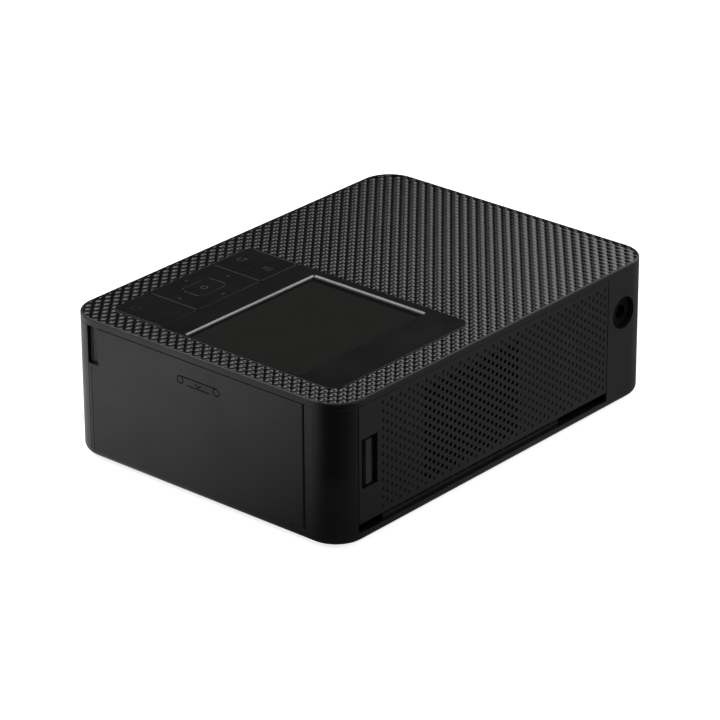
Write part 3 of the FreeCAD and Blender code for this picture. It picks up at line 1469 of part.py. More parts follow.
def make_cassette_case():
    inside = "(tub_radius - tub_wall)"
    shells = []
    hollows = []
    for along in ("take_up_along", "supply_along"):
        shells.append(rod_x(along, "spool_height", "tub_radius", ("tub_left", "tub_right")))
        hollows.append(rod_x(along, "spool_height", inside,
                             ("tub_left + tub_wall", "tub_right")))
        hollows.append(rod_x(along, "spool_height", "spool_core_radius - tub_wall / 2",
                             ("tub_left - overrun", "tub_left + tub_wall + overrun")))
    slot_top = "(spool_height - tub_radius + tub_slot_width)"
    hollows.append(box(("ribbon_left - overrun", "ribbon_right + overrun"),
                       ("take_up_along", "take_up_along + tub_radius + overrun"),
                       (BRIDGE_BOTTOM + " - overrun", slot_top)))
    hollows.append(box(("ribbon_left - overrun", "ribbon_right + overrun"),
                       ("supply_along - tub_radius - overrun", "supply_along"),
                       (BRIDGE_BOTTOM + " - overrun", slot_top)))
    case = less(joined(shells), hollows)
    bridge = box(("tub_left", "tub_left + bridge_width"),
                 ("take_up_along + tub_radius / 2", "supply_along - tub_radius / 2"),
                 (BRIDGE_BOTTOM, BRIDGE_BOTTOM + " + bridge_height"))
    bridge_holes = []
    for along in ("take_up_along", "supply_along"):
        bridge_holes.append(rod_x(along, "spool_height", inside,
                                  ("tub_left + tub_wall", "tub_left + bridge_width + overrun")))
    grip = box(("tub_right", "tub_right + grip_plate"),
               ("take_up_along - tub_radius", "supply_along + tub_radius"),
               (BRIDGE_BOTTOM, "spool_height + tub_radius"))
    keep(joined([case, less(bridge, bridge_holes), grip]), "ink_cassette_case")


def make_spool(name, along, roll_name, roll_radius):
    low, high = spool_span()
    core = rod_x(along, "spool_height", "spool_core_radius", (low, high))
    bore = rod_x(along, "spool_height", "spool_bore_radius",
                 (low + " - overrun", low + " + spool_bore_depth"))
    keep(less(core, [bore]), name)
    roll = rod_x(along, "spool_height", roll_radius, ("ribbon_left", "ribbon_right"))
    hole = rod_x(along, "spool_height", "spool_core_radius",
                 ("ribbon_left - overrun", "ribbon_right + overrun"))
    keep(less(roll, [hole]), roll_name)


def make_ribbon():
    """The ribbon from one tub to the other, flat above the platen."""
    piece = Piece("ink_ribbon_web")
    tub = "(spool_height - tub_radius + tub_slot_width / 2)"
    front = "(take_up_along + tub_radius / 2)"
    back = "(supply_along - tub_radius / 2)"
    flat_front = "(platen_along - ribbon_flat)"
    flat_back = "(platen_along + ribbon_flat)"
    points = [
        (front, tub), (flat_front, RIBBON_HEIGHT), (flat_back, RIBBON_HEIGHT), (back, tub),
        (back, tub + " + ribbon_sheet"), (flat_back, RIBBON_HEIGHT + " + ribbon_sheet"),
        (flat_front, RIBBON_HEIGHT + " + ribbon_sheet"), (front, tub + " + ribbon_sheet"),
    ]
    piece.prism("Pad", "YZ_Plane", points, "ribbon_left", "ribbon_right")
    keep(piece.body, "ink_ribbon_web")


# Paper guide and fan

def make_paper_guide():
    piece = Piece("paper_guide")
    slope = [
        ("guide_front", "guide_front_height - guide_sheet"), ("guide_back", "slot_bottom"),
        ("guide_back", "guide_back_height"), ("guide_front", "guide_front_height"),
    ]
    piece.prism("Pad", "YZ_Plane", slope, "guide_left", "guide_right")
    leg = [
        ("guide_front", FLOOR), ("guide_back - guide_front", FLOOR),
        ("guide_back - guide_front", "slot_bottom + guide_sheet"),
        ("guide_front", "guide_front_height - guide_sheet / 2"),
    ]
    piece.prism("Pad", "YZ_Plane", leg, "guide_left", "guide_left + guide_leg")
    piece.prism("Pad", "YZ_Plane", leg, "guide_right - guide_leg", "guide_right")
    rib = [
        ("guide_front", "guide_front_height - guide_sheet / 2"),
        ("guide_back", "guide_back_height - guide_sheet / 3"),
        ("guide_back", "guide_back_height + rib_height"),
        ("guide_front", "guide_front_height + rib_height"),
    ]
    span = "(rib_pitch * %d)" % (RIB_COUNT - 1)
    first = "(cover_centre - %s / 2)" % span
    sketch = piece.sketch("YZ_Plane", first + " - rib_width / 2", first + " + rib_width / 2")
    piece.outline(sketch, rib)
    pad = piece.feature("Pad", sketch, first + " - rib_width / 2", first + " + rib_width / 2")
    document.recompute()
    pattern = piece.body.newObject("PartDesign::LinearPattern", "Ribs")
    pattern.Originals = [pad]
    pattern.Direction = (sketch, ["N_Axis"])
    bind(pattern, "Length", span)
    pattern.Occurrences = RIB_COUNT
    piece.body.Tip = pattern
    keep(piece.body, "paper_guide")


def make_fan():
    half = "(fan_size / 2)"
    y = ("rear_plate_face", "rear_plate_face + fan_depth")
    block = box(("fan_centre - " + half, "fan_centre + " + half), y,
                ("fan_height - " + half, "fan_height + " + half))
    bore = rod_y("fan_centre", "fan_height", "fan_bore_radius", (y[0] + " - overrun", y[1] + " + overrun"))
    strut_y = (y[1] + " - fan_strut_depth", y[1])
    struts = []
    for number in range(FAN_STRUTS):
        strut = document.addObject("Part::Box", "strut")
        bind(strut, "Length", "fan_strut")
        bind(strut, "Width", "fan_strut_depth")
        bind(strut, "Height", "fan_bore_radius + fan_strut / 2")
        turn = FULL_TURN * number / FAN_STRUTS
        strut.Placement = Placement(Vector(), Rotation(Vector(0, 1, 0), turn))
        place(strut, "fan_centre", strut_y[0], "fan_height")
        struts.append(strut)
    plate = rod_y("fan_centre", "fan_height", "fan_motor_radius", strut_y)
    hole = rod_y("fan_centre", "fan_height", "fan_shaft_radius + shaft_clearance",
                 (y[0] + " - overrun", y[1] + " + overrun"))
    frame = joined([less(block, [bore])] + struts + [plate])
    keep(less(frame, [hole]), "fan_frame")


def make_fan_rotor():
    centre = Vector(size("fan_centre"), size("rear_plate_face"), size("fan_height"))
    along = Vector(0, 1, 0)
    gap = size("moving_clearance") * 2
    depth = size("fan_depth") - size("fan_strut_depth") - gap * 2
    start = centre + along * gap
    hub = Part.makeCylinder(size("fan_hub_radius"), depth, start, along)
    shaft = Part.makeCylinder(size("fan_shaft_radius"), size("fan_depth") - gap, start, along)
    rim = Part.makeCylinder(size("fan_blade_radius"), depth, start, along)
    sheet_y = size("fan_blade_sheet")
    chord = depth * 2
    blades = []
    for number in range(FAN_BLADES):
        blade = Part.makeBox(sheet_y, chord, size("fan_bore_radius"),
                             Vector(-sheet_y / 2, -chord / 2, size("fan_hub_radius") / 2))
        blade.rotate(Vector(), Vector(0, 0, 1), BLADE_PITCH)
        blade.rotate(Vector(), along, FULL_TURN * number / FAN_BLADES)
        blade.translate(start + along * (depth / 2))
        blades.append(blade.common(rim))
    feature = document.addObject("Part::Feature", "fan_rotor")
    feature.Shape = hub.fuse(blades + [shaft]).removeSplitter()
    keep(feature, "fan_rotor")


# Electronics

def make_main_board():
    board = box(("main_board_left", "main_board_left + board_thickness"),
                ("main_board_front", "main_board_back"), ("main_board_bottom", "main_board_top"))
    keep(board, "main_board")
    face = "(main_board_left + board_thickness)"
    parts = []
    for number in range(CAPACITORS):
        along = "(capacitor_along - capacitor_pitch * %d)" % number
        parts.append(rod_x(along, "capacitor_height", "capacitor_radius",
                           (face, face + " + capacitor_length")))
    parts.append(box((face, face + " + chip_thickness"),
                     ("chip_along - chip_side", "chip_along"),
                     ("chip_height - chip_side / 2", "chip_height + chip_side / 2")))
    parts.append(box((face, face + " + coil_thickness"),
                     ("capacitor_along - coil_side / 2", "capacitor_along + coil_side / 2"),
                     ("main_board_bottom + coil_side / 2", "main_board_bottom + coil_side * 1.5")))
    keep(group(parts), "board_components")


def make_usb_port():
    face = "main_board_left"
    mouth = LEFT + " + wall / 4"
    half = "usb_width / 2"
    rise = "usb_thickness / 2"
    shell = box((mouth, face), ("usb_along - " + half, "usb_along + " + half),
                ("usb_height - " + rise, "usb_height + " + rise))
    hollow = box((mouth + " - overrun", face + " - usb_wall"),
                 ("usb_along - %s + usb_wall" % half, "usb_along + %s - usb_wall" % half),
                 ("usb_height - %s + usb_wall" % rise, "usb_height + %s - usb_wall" % rise))
    tongue = box((mouth + " + usb_wall", face),
                 ("usb_along - usb_width / 3", "usb_along + usb_width / 3"),
                 ("usb_height - usb_tongue / 2", "usb_height + usb_tongue / 2"))
    keep(joined([less(shell, [hollow]), tongue]), "usb_port")


def make_card_reader():
    inside = FRONT + " + wall"
    back = inside + " + card_depth"
    board = box(("card_left", "card_right"), (inside, back + " + standoff_radius"),
                ("card_board_top - board_thickness", "card_board_top"))
    keep(board, "card_board")
    body = box(("card_left", "card_right"), (inside, back),
               ("card_board_top", "card_board_top + card_height"))
    slot_middle = "((card_left + card_right) / 2)"
    slot = box((slot_middle + " - card_slot_width / 2", slot_middle + " + card_slot_width / 2"),
               (inside + " - overrun", back + " - card_wall"),
               ("card_board_top + card_wall", "card_board_top + card_height - card_wall"))
    keep(less(body, [slot]), "card_socket")


def make_everything():
    make_base_shell()
    make_rubber_feet()
    make_case_screws()
    make_top_cover()
    make_control_panel()
    make_display()
    make_menu_rocker()
    make_dpad()
    make_ok_button()
    make_print_button()
    make_button_board()
    make_rear_grille()
    make_battery_catch()
    make_power_inlet()
    make_ink_door()
    make_front_bezel()
    make_front_cover()
    make_frames()
    make_cross_plates()
    make_bushes()
    make_platen()
    make_feed_roller()
    make_pickup_roller()
    places = make_gears()
    make_gear_studs(places)
    make_feed_motor()
    make_head()
    make_head_carriage()
    make_cassette_case()
    make_spool("take_up_spool", "take_up_along", "take_up_roll", "worn_roll_radius")
    make_spool("supply_spool", "supply_along", "supply_roll", "full_roll_radius")
    make_ribbon()
    make_paper_guide()
    make_fan()
    make_fan_rotor()
    make_main_board()
    make_usb_port()
    make_card_reader()


def check_and_export():
    document.recompute()
    for thing in document.Objects:
        if "Invalid" in thing.State or "Error" in thing.State:
            raise RuntimeError("Failed object: %s %s" % (thing.Name, thing.State))
    for thing in nodes:
        if thing.Shape.isNull() or not thing.Shape.isValid():
            raise RuntimeError("Bad shape: " + thing.Label)
        if not thing.Shape.Solids:
            raise RuntimeError("No solid: " + thing.Label)
    os.makedirs("parts", exist_ok=True)
    for thing in nodes:
        thing.Shape.exportStep("parts/%s.step" % thing.Label)
    print(len(nodes), "nodes written")


make_everything()
check_and_export()
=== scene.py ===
import math

import bmesh
import bpy
import numpy as np
from mathutils import Matrix, Vector


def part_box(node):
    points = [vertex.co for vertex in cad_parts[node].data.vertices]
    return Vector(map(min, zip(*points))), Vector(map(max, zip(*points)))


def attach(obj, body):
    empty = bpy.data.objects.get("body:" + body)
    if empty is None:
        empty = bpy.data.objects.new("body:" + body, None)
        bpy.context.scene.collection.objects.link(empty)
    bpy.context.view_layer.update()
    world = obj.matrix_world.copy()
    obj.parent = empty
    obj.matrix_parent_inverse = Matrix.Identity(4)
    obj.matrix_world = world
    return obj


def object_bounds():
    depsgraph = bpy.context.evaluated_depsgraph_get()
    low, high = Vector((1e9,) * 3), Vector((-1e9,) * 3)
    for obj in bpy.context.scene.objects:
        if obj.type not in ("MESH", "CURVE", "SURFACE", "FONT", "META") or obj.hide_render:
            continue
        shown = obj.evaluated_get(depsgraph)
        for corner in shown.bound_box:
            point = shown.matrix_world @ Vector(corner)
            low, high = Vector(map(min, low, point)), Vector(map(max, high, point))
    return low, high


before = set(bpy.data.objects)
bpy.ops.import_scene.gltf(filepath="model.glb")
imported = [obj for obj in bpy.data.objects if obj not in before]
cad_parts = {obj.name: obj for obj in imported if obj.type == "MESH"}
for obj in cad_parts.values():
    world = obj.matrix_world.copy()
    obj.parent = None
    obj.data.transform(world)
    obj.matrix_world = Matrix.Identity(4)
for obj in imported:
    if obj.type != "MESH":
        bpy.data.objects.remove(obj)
cad_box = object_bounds()

# Sizes are in millimetres and turned into metres by MM. Only those of the floor, the
# lamps and the camera's clipping are in metres.
MM = 0.001


def box_of(name):
    """A CAD node's lowest and highest corner, to a hundredth of a millimetre."""
    return [[round(value / MM, 2) for value in corner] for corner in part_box(name)]


def top_of(name):
    return box_of(name)[1][2]


def outline_of(name, grown, radius):
    """Left, right, front, back and corner radius of a node's outline, grown all round."""
    (left, front, _), (right, back, _) = box_of(name)
    return left - grown, right + grown, front - grown, back + grown, radius


# The grained field of the top cover: low pyramids on a lozenge lattice, between the
# rim of the cover and the control panel. Their edges get sharper as the power that
# GRAIN_ROUNDING gives gets higher.
LOZENGE_X = 5.198
LOZENGE_Y = 4.273
LOZENGE_STEPS = 6
LOZENGE_CENTRE = (-1.55, -0.15)
GRAIN_OUTLINE = outline_of("top_cover", grown=-0.82, radius=12.0)
PANEL_OUTLINE = outline_of("control_panel", grown=0.12, radius=5.1)
GRAIN_BELOW_TOP = 0.02
GRAIN_DEPTH = 0.53
GRAIN_FLOOR = top_of("top_cover") - GRAIN_BELOW_TOP - GRAIN_DEPTH
GRAIN_SKIRT = 0.04
GRAIN_ROUNDING = 4.0
GRAIN_WELD = 0.002

# The painted highlight of the display window's edge: a pale strip whose colour stands in for the
# light that the edge catches. It starts at the end of the rear left corner, runs down the left side
# and along the front, and ends in the front right corner.
WINDOW_OUTLINE = outline_of("lcd_window", grown=0.08, radius=0.8)
CORNER_STEPS = 6
CORNER_POINTS = CORNER_STEPS + 1
LEAST_BEND = 0.05
EDGE_POINTS = slice(2 * CORNER_POINTS - 2, 3 * CORNER_POINTS + 2)
EDGE_SINK = 0.01
EDGE_FLOOR = top_of("lcd_window") - EDGE_SINK
EDGE_WIDTH = 0.34
EDGE_RISE = 0.62

# Its section, in shares of its width and of its rise.
EDGE_SECTION = ((0, 0), (0, 1), (1 / 3, 1), (1, 1 / 4), (1, 0))

# The signs: strokes that stand a little out of the face they are printed on.
PANEL_TOP = top_of("control_panel")
SIGN_HEIGHT = 0.03
SIGN_SINK = 0.02
SIGN_STROKE = 0.32
MITRE_LIMIT = 0.5
CHEVRON_SIZE = 1.4


# Shader nodes

NOISE_DETAIL = 2.0
NOISE_RANGE = (0.3, 0.7)
BEVEL_SAMPLES = 4
DRIFT_MM = 18.0
GLOSS_DRIFT = 0.15


def node(tree, kind, **settings):
    made = tree.nodes.new("ShaderNode" + kind)
    for key, value in settings.items():
        setattr(made, key, value)
    return made


def calculated(tree, operation, first, second):
    """A Math node's result; each operand is a float or another node's output."""
    made = node(tree, "Math", operation=operation)
    for socket, value in zip(made.inputs, (first, second)):
        if isinstance(value, float):
            socket.default_value = value
        else:
            tree.links.new(value, socket)
    return made.outputs[0]


def ramp(tree, value, ends, unit=1.0):
    """A clamped straight ramp through two (value, result) ends."""
    made = node(tree, "MapRange")
    (start, first), (end, last) = ends
    for name, number in (("From Min", start * unit), ("From Max", end * unit),
                         ("To Min", first), ("To Max", last)):
        made.inputs[name].default_value = number
    tree.links.new(value, made.inputs["Value"])
    return made.outputs["Result"]


def spread(tree, noise, low, high):
    """A noise drawn out from its usual range to one from low to high."""
    return ramp(tree, noise, tuple(zip(NOISE_RANGE, (low, high))))


def two_colours(tree, factor, first, second):
    blend = node(tree, "Mix", data_type="RGBA")
    blend.inputs["A"].default_value = (*first, 1.0)
    blend.inputs["B"].default_value = (*second, 1.0)
    tree.links.new(factor, blend.inputs["Factor"])
    return blend.outputs["Result"]


def mapped(tree, **settings):
    """The object's own coordinates, in metres, turned or scaled."""
    place = node(tree, "TexCoord")
    made = node(tree, "Mapping")
    for name, value in settings.items():
        made.inputs[name].default_value = value
    tree.links.new(place.outputs["Object"], made.inputs["Vector"])
    return made.outputs["Vector"]


def split_up(tree, coordinates):
    """X, Y and Z of one output of a Texture Coordinate node."""
    place = node(tree, "TexCoord")
    split = node(tree, "SeparateXYZ")
    tree.links.new(place.outputs[coordinates], split.inputs["Vector"])
    return split.outputs


def grain(tree, size_mm, stretch=(1.0, 1.0, 1.0)):
    """A noise in the object's own coordinates whose features are size_mm wide."""
    noise = node(tree, "TexNoise")
    noise.inputs["Scale"].default_value = 1.0 / (size_mm * MM)
    noise.inputs["Detail"].default_value = NOISE_DETAIL
    tree.links.new(mapped(tree, Scale=stretch), noise.inputs["Vector"])
    return noise.outputs["Fac"]


def inside(tree, value, low, high):
    """1 where value is between low and high, in millimetres, else 0."""
    above = calculated(tree, "GREATER_THAN", value, low * MM)
    below = calculated(tree, "LESS_THAN", value, high * MM)
    return calculated(tree, "MULTIPLY", above, below)


def seen(tree, path):
    """1 for a ray of the camera, straight or through glass, else 0."""
    return calculated(tree, "MAXIMUM", path.outputs["Is Camera Ray"],
                      path.outputs["Is Transmission Ray"])


# Materials

def shaded(colour, factor):
    return tuple(channel * factor for channel in colour)


def bumped(tree, shader, height, depth_mm, edge_mm):
    """Relief of depth_mm on the shader, and sharp edges rounded by edge_mm."""
    bump = node(tree, "Bump")
    bump.inputs["Distance"].default_value = depth_mm * MM
    tree.links.new(height, bump.inputs["Height"])
    if edge_mm:
        edge = node(tree, "Bevel", samples=BEVEL_SAMPLES)
        edge.inputs["Radius"].default_value = edge_mm * MM
        tree.links.new(edge.outputs["Normal"], bump.inputs["Normal"])
    tree.links.new(bump.outputs["Normal"], shader.inputs["Normal"])


def finish(name, colour, roughness, grain_mm=0.35, depth_mm=0.01, metallic=0.0, edge_mm=0.0,
           stretch=(1.0, 1.0, 1.0), vary=0.15, sheen=0.0, specular=0.5, paint=None):
    """A moulded or metal surface: fine grain in relief, slow drift in colour and gloss.

    paint(tree) gives the colour where it isn't the same all over."""
    made = bpy.data.materials.new(name)
    made.use_nodes = True
    tree = made.node_tree
    shader = tree.nodes["Principled BSDF"]
    shader.inputs["Metallic"].default_value = metallic
    shader.inputs["Sheen Weight"].default_value = sheen
    shader.inputs["Specular IOR Level"].default_value = specular
    drift = grain(tree, DRIFT_MM)
    if paint:
        tint = paint(tree)
    else:
        tint = two_colours(tree, spread(tree, drift, 0.0, 1.0),
                           shaded(colour, 1.0 - vary), shaded(colour, 1.0 + vary))
    tree.links.new(tint, shader.inputs["Base Color"])
    gloss = spread(tree, drift, roughness * (1.0 - GLOSS_DRIFT), roughness * (1.0 + GLOSS_DRIFT))
    tree.links.new(gloss, shader.inputs["Roughness"])
    bumped(tree, shader, grain(tree, grain_mm, stretch), depth_mm, edge_mm)
    made.diffuse_color = (*colour, 1.0)
    return made


# How far the viewing area stays from each side of the display window.
VIEW_FROM_LEFT = 3.8
VIEW_FROM_RIGHT = 0.85
VIEW_FROM_FRONT = 2.45
VIEW_FROM_BACK = 0.8
WINDOW_PRINT = (0.001, 0.001, 0.001)
WINDOW_VIEW = (0.0145, 0.0145, 0.0130)


def window_paint(tree):
    """Black print round a slightly paler viewing area."""
    (left, front, _), (right, back, _) = box_of("lcd_window")
    place = split_up(tree, "Object")
    wide = inside(tree, place["X"], left + VIEW_FROM_LEFT, right - VIEW_FROM_RIGHT)
    deep = inside(tree, place["Y"], front + VIEW_FROM_FRONT, back - VIEW_FROM_BACK)
    area = calculated(tree, "MULTIPLY", wide, deep)
    return two_colours(tree, area, WINDOW_PRINT, WINDOW_VIEW)


TRACK_PITCH = 6.0
TRACK_SHARE = 0.05
TRACK_TURN = (0.0, math.radians(35.0), math.radians(20.0))
TRACK_COLOURS = {
    "Color1": (0.010, 0.075, 0.030, 1.0),
    "Color2": (0.014, 0.095, 0.040, 1.0),
    "Mortar": (0.035, 0.180, 0.075, 1.0),
}


def board_paint(tree):
    """Solder mask over tracks that run square to each other."""
    tracks = node(tree, "TexBrick")
    tracks.inputs["Scale"].default_value = 1.0 / (TRACK_PITCH * MM)
    tracks.inputs["Mortar Size"].default_value = TRACK_SHARE
    for name, colour in TRACK_COLOURS.items():
        tracks.inputs[name].default_value = colour
    tree.links.new(mapped(tree, Rotation=TRACK_TURN), tracks.inputs["Vector"])
    return tracks.outputs["Color"]


# One round of dyes on the ribbon, and where in it each colour starts.
RIBBON_ROUND = 36.0
RIBBON_DYES = (
    (0.0, (0.62, 0.42, 0.02, 1.0)),
    (0.33, (0.42, 0.02, 0.12, 1.0)),
    (0.66, (0.01, 0.16, 0.30, 1.0)),
)


def ribbon_paint(tree):
    """Dye film, in bands of yellow, magenta and cyan across the web."""
    rounds = calculated(tree, "DIVIDE", split_up(tree, "Object")["Y"], RIBBON_ROUND * MM)
    bands = node(tree, "ValToRGB")
    bands.color_ramp.interpolation = "CONSTANT"
    points = bands.color_ramp.elements
    for index, (start, dye) in enumerate(RIBBON_DYES):
        point = points[index] if index < len(points) else points.new(start)
        point.position = start
        point.color = dye
    tree.links.new(calculated(tree, "FRACT", rounds, 0.0), bands.inputs["Fac"])
    return bands.outputs["Color"]


FINISHES = {
    "matte_black": dict(colour=(0.0042, 0.0042, 0.0041), roughness=0.42, grain_mm=0.3,
                        depth_mm=0.006, edge_mm=0.25),
    "gloss_black": dict(colour=(0.0095, 0.0095, 0.0093), roughness=0.15, grain_mm=2.5,
                        depth_mm=0.0005, edge_mm=0.1, specular=0.24),
    "display_frame": dict(colour=(0.02, 0.02, 0.022), roughness=0.4),
    "rubber": dict(colour=(0.022, 0.022, 0.022), roughness=0.75, grain_mm=0.25, depth_mm=0.02,
                   sheen=0.2),
    "steel": dict(colour=(0.56, 0.57, 0.58), roughness=0.32, grain_mm=0.25, depth_mm=0.004,
                  metallic=1.0, stretch=(0.08, 1.0, 1.0)),
    "brass": dict(colour=(0.68, 0.50, 0.22), roughness=0.28, grain_mm=0.25, depth_mm=0.004,
                  metallic=1.0, stretch=(0.15, 1.0, 1.0)),
    "aluminium": dict(colour=(0.62, 0.63, 0.64), roughness=0.42, grain_mm=0.2, depth_mm=0.006,
                      metallic=1.0, stretch=(0.1, 1.0, 1.0)),
    "ceramic": dict(colour=(0.62, 0.58, 0.52), roughness=0.35, grain_mm=0.15, depth_mm=0.003),
    "light_plastic": dict(colour=(0.55, 0.55, 0.53), roughness=0.42, grain_mm=0.4),
    "gear_plastic": dict(colour=(0.66, 0.65, 0.60), roughness=0.36, grain_mm=0.5, vary=0.06),
    "cassette_plastic": dict(colour=(0.075, 0.078, 0.085), roughness=0.4),
    "inner_black": dict(colour=(0.016, 0.016, 0.016), roughness=0.5),
    "component_black": dict(colour=(0.022, 0.022, 0.024), roughness=0.45, grain_mm=0.2),
    # Painted shade: a black darker and duller than the shell's, for the shade inside the power
    # inlet's opening.
    "socket_painted_shade": dict(colour=(0.0015, 0.0015, 0.0015), roughness=0.5, grain_mm=0.3,
                         specular=0.1),
    "display_glass": dict(colour=(0.01, 0.01, 0.01), roughness=0.12, grain_mm=30.0,
                          depth_mm=0.001, paint=window_paint),
    "board_green": dict(colour=(0.012, 0.085, 0.035), roughness=0.3, grain_mm=0.8,
                        paint=board_paint),
    "ribbon_film": dict(colour=(0.20, 0.06, 0.08), roughness=0.22, grain_mm=4.0,
                        paint=ribbon_paint),
    "grained_black": dict(colour=(0.0022, 0.0022, 0.0021), roughness=0.12, grain_mm=0.25,
                          depth_mm=0.001, vary=0.1),
    "mark_grey": dict(colour=(0.060, 0.060, 0.058), roughness=0.5, grain_mm=0.2, depth_mm=0.002,
                      specular=0.2),
    "faint_grey": dict(colour=(0.012, 0.012, 0.012), roughness=0.4, grain_mm=0.2, depth_mm=0.002,
                       specular=0.3),
    # Painted shade: a black darker and duller than the door's, for the shade of the door's moulded
    # pictogram.
    "mark_black": dict(colour=(0.001, 0.001, 0.001), roughness=0.6, grain_mm=0.2, depth_mm=0.002,
                       specular=0.05),
    # Painted highlight: a pale colour that stands in for the light caught by the display window's
    # edge.
    "painted_highlight_edge": dict(colour=(0.62, 0.62, 0.62), roughness=0.25, grain_mm=0.4, depth_mm=0.003),
}
looks = {name: finish(name, **facts) for name, facts in FINISHES.items()}

# A CAD node wears the finish that its packed material is named after, unless it is here.
# The power inlet wears painted shade, so that its opening looks as dark as the shade in it.
OWN_FINISH = {"dc_jack": "socket_painted_shade"}

for name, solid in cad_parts.items():
    wanted = OWN_FINISH.get(name) or solid.data.materials[0].name.split(".")[0]
    solid.material_slots[0].material = looks[wanted]


# Pieces of the scene's own

def mesh_piece(name, body, look, mesh_code, smooth=True):
    """A new piece built by mesh_code(bm) in millimetres, riding on a body."""
    bm = bmesh.new()
    mesh_code(bm)
    bmesh.ops.scale(bm, vec=(MM, MM, MM), verts=bm.verts)
    bmesh.ops.recalc_face_normals(bm, faces=bm.faces)
    mesh = bpy.data.meshes.new(name)
    bm.to_mesh(mesh)
    bm.free()
    mesh.materials.append(looks[look])
    if smooth:
        mesh.shade_smooth()
    piece = bpy.data.objects.new(name, mesh)
    bpy.context.scene.collection.objects.link(piece)
    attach(piece, body)


# The grained top

def distance_to(outline, x, y):
    """Signed distance to a rounded rectangle, below zero inside it."""
    left, right, front, back, radius = outline
    across = np.abs(x - (left + right) / 2) - (right - left) / 2 + radius
    along = np.abs(y - (front + back) / 2) - (back - front) / 2 + radius
    beyond = np.hypot(np.maximum(across, 0), np.maximum(along, 0))
    return beyond + np.minimum(np.maximum(across, along), 0) - radius


def grain_border(x, y):
    """Below zero where the grained field lies."""
    return np.maximum(distance_to(GRAIN_OUTLINE, x, y), -distance_to(PANEL_OUTLINE, x, y))


def grain_point(i, j):
    """The surface at whole steps i and j along the two directions of the lattice."""
    x = LOZENGE_CENTRE[0] + (i + j) * LOZENGE_X / 2 / LOZENGE_STEPS
    y = LOZENGE_CENTRE[1] + (i - j) * LOZENGE_Y / 2 / LOZENGE_STEPS
    off_u = np.abs(2 * ((i / LOZENGE_STEPS + 0.5) % 1.0) - 1)
    off_v = np.abs(2 * ((j / LOZENGE_STEPS + 0.5) % 1.0) - 1)
    slope = (off_u ** GRAIN_ROUNDING + off_v ** GRAIN_ROUNDING) ** (1 / GRAIN_ROUNDING)
    share = np.clip(1.0 - slope, 0.0, 1.0)
    return np.stack([x, y, GRAIN_FLOOR + GRAIN_DEPTH * share], -1)


def lattice_reach():
    """How many steps either way from its centre the lattice needs to cover the field."""
    left, right, front, back, _ = GRAIN_OUTLINE
    x, y = LOZENGE_CENTRE
    across = max(right - x, x - left) / LOZENGE_X
    along = max(back - y, y - front) / LOZENGE_Y
    return math.ceil((across + along) * LOZENGE_STEPS) + 1


def clipped(corners, sides):
    """The part of one small face that lies inside the border."""
    kept = []
    for here, after, side, after_side in zip(corners, corners[1:] + corners[:1],
                                             sides, sides[1:] + sides[:1]):
        if side < 0:
            kept.append(here)
        if (side < 0) != (after_side < 0):
            kept.append(here + (after - here) * (side / (side - after_side)))
    return kept


def grained_field(bm):
    """Small four-sided faces over the lattice, clipped at the border, with a skirt."""
    reach = lattice_reach()
    i, j = np.meshgrid(np.arange(-reach, reach), np.arange(-reach, reach), indexing="ij")
    points = grain_point(i, j)
    border = grain_border(points[..., 0], points[..., 1])
    corner_steps = ((0, 0), (1, 0), (1, 1), (0, 1))
    ends = [border[di:di - 1 or None, dj:dj - 1 or None] for di, dj in corner_steps]
    lowest = np.minimum.reduce(ends)
    highest = np.maximum.reduce(ends)
    made = {}

    def vertex(a, b):
        if (a, b) not in made:
            made[a, b] = bm.verts.new(points[a, b])
        return made[a, b]

    for a, b in np.argwhere(lowest < 0):
        around = [(a + di, b + dj) for di, dj in corner_steps]
        if highest[a, b] <= 0:
            bm.faces.new([vertex(*at) for at in around])
            continue
        kept = clipped([points[at] for at in around], [border[at] for at in around])
        if len(kept) > 2:
            bm.faces.new([bm.verts.new(point) for point in kept])
    bmesh.ops.remove_doubles(bm, verts=bm.verts, dist=GRAIN_WELD)
    rim = [edge for edge in bm.edges if edge.is_boundary]
    for edge in rim:
        edge.smooth = False
    skirt = bmesh.ops.extrude_edge_only(bm, edges=rim)["geom"]
    for item in skirt:
        if isinstance(item, bmesh.types.BMVert):
            item.co.z = GRAIN_FLOOR - GRAIN_SKIRT


mesh_piece("top_grain", "printer_body", "grained_black", grained_field)


# The painted highlight on the edge of the display window

def rounded_corners(outline, inset):
    """Points round a rounded rectangle drawn in by inset, anticlockwise from its right side."""
    left, right, front, back, radius = outline
    bend = max(radius - inset, LEAST_BEND)
    within = inset + bend
    middles = ((right - within, back - within), (left + within, back - within),
               (left + within, front + within), (right - within, front + within))
    points = []
    for quarter, (x, y) in enumerate(middles):
        for step in range(CORNER_POINTS):
            angle = math.radians(90 * (quarter + step / CORNER_STEPS))
            points.append((x + bend * math.cos(angle), y + bend * math.sin(angle)))
    return points


def window_highlight_edge(bm):
    rings = []
    for inset, height in EDGE_SECTION:
        line = rounded_corners(WINDOW_OUTLINE, EDGE_WIDTH * inset)[EDGE_POINTS]
        rings.append([bm.verts.new((x, y, EDGE_FLOOR + EDGE_RISE * height)) for x, y in line])
    for inner, outer in zip(rings, rings[1:] + rings[:1]):
        for face in zip(inner, inner[1:], outer[1:], outer):
            bm.faces.new(face)
    for end in (0, -1):
        bm.faces.new([ring[end] for ring in rings])


mesh_piece("window_highlight_edge", "printer_body", "painted_highlight_edge", window_highlight_edge, smooth=False)


# Signs: plain pictograms, printed or raised

# Which way a sign's right, its top and its face point.
FACING = {
    "up": ((1, 0, 0), (0, 1, 0), (0, 0, 1)),
    "right": ((0, 1, 0), (0, 0, 1), (1, 0, 0)),
    "back": ((-1, 0, 0), (0, 0, 1), (0, 1, 0)),
}


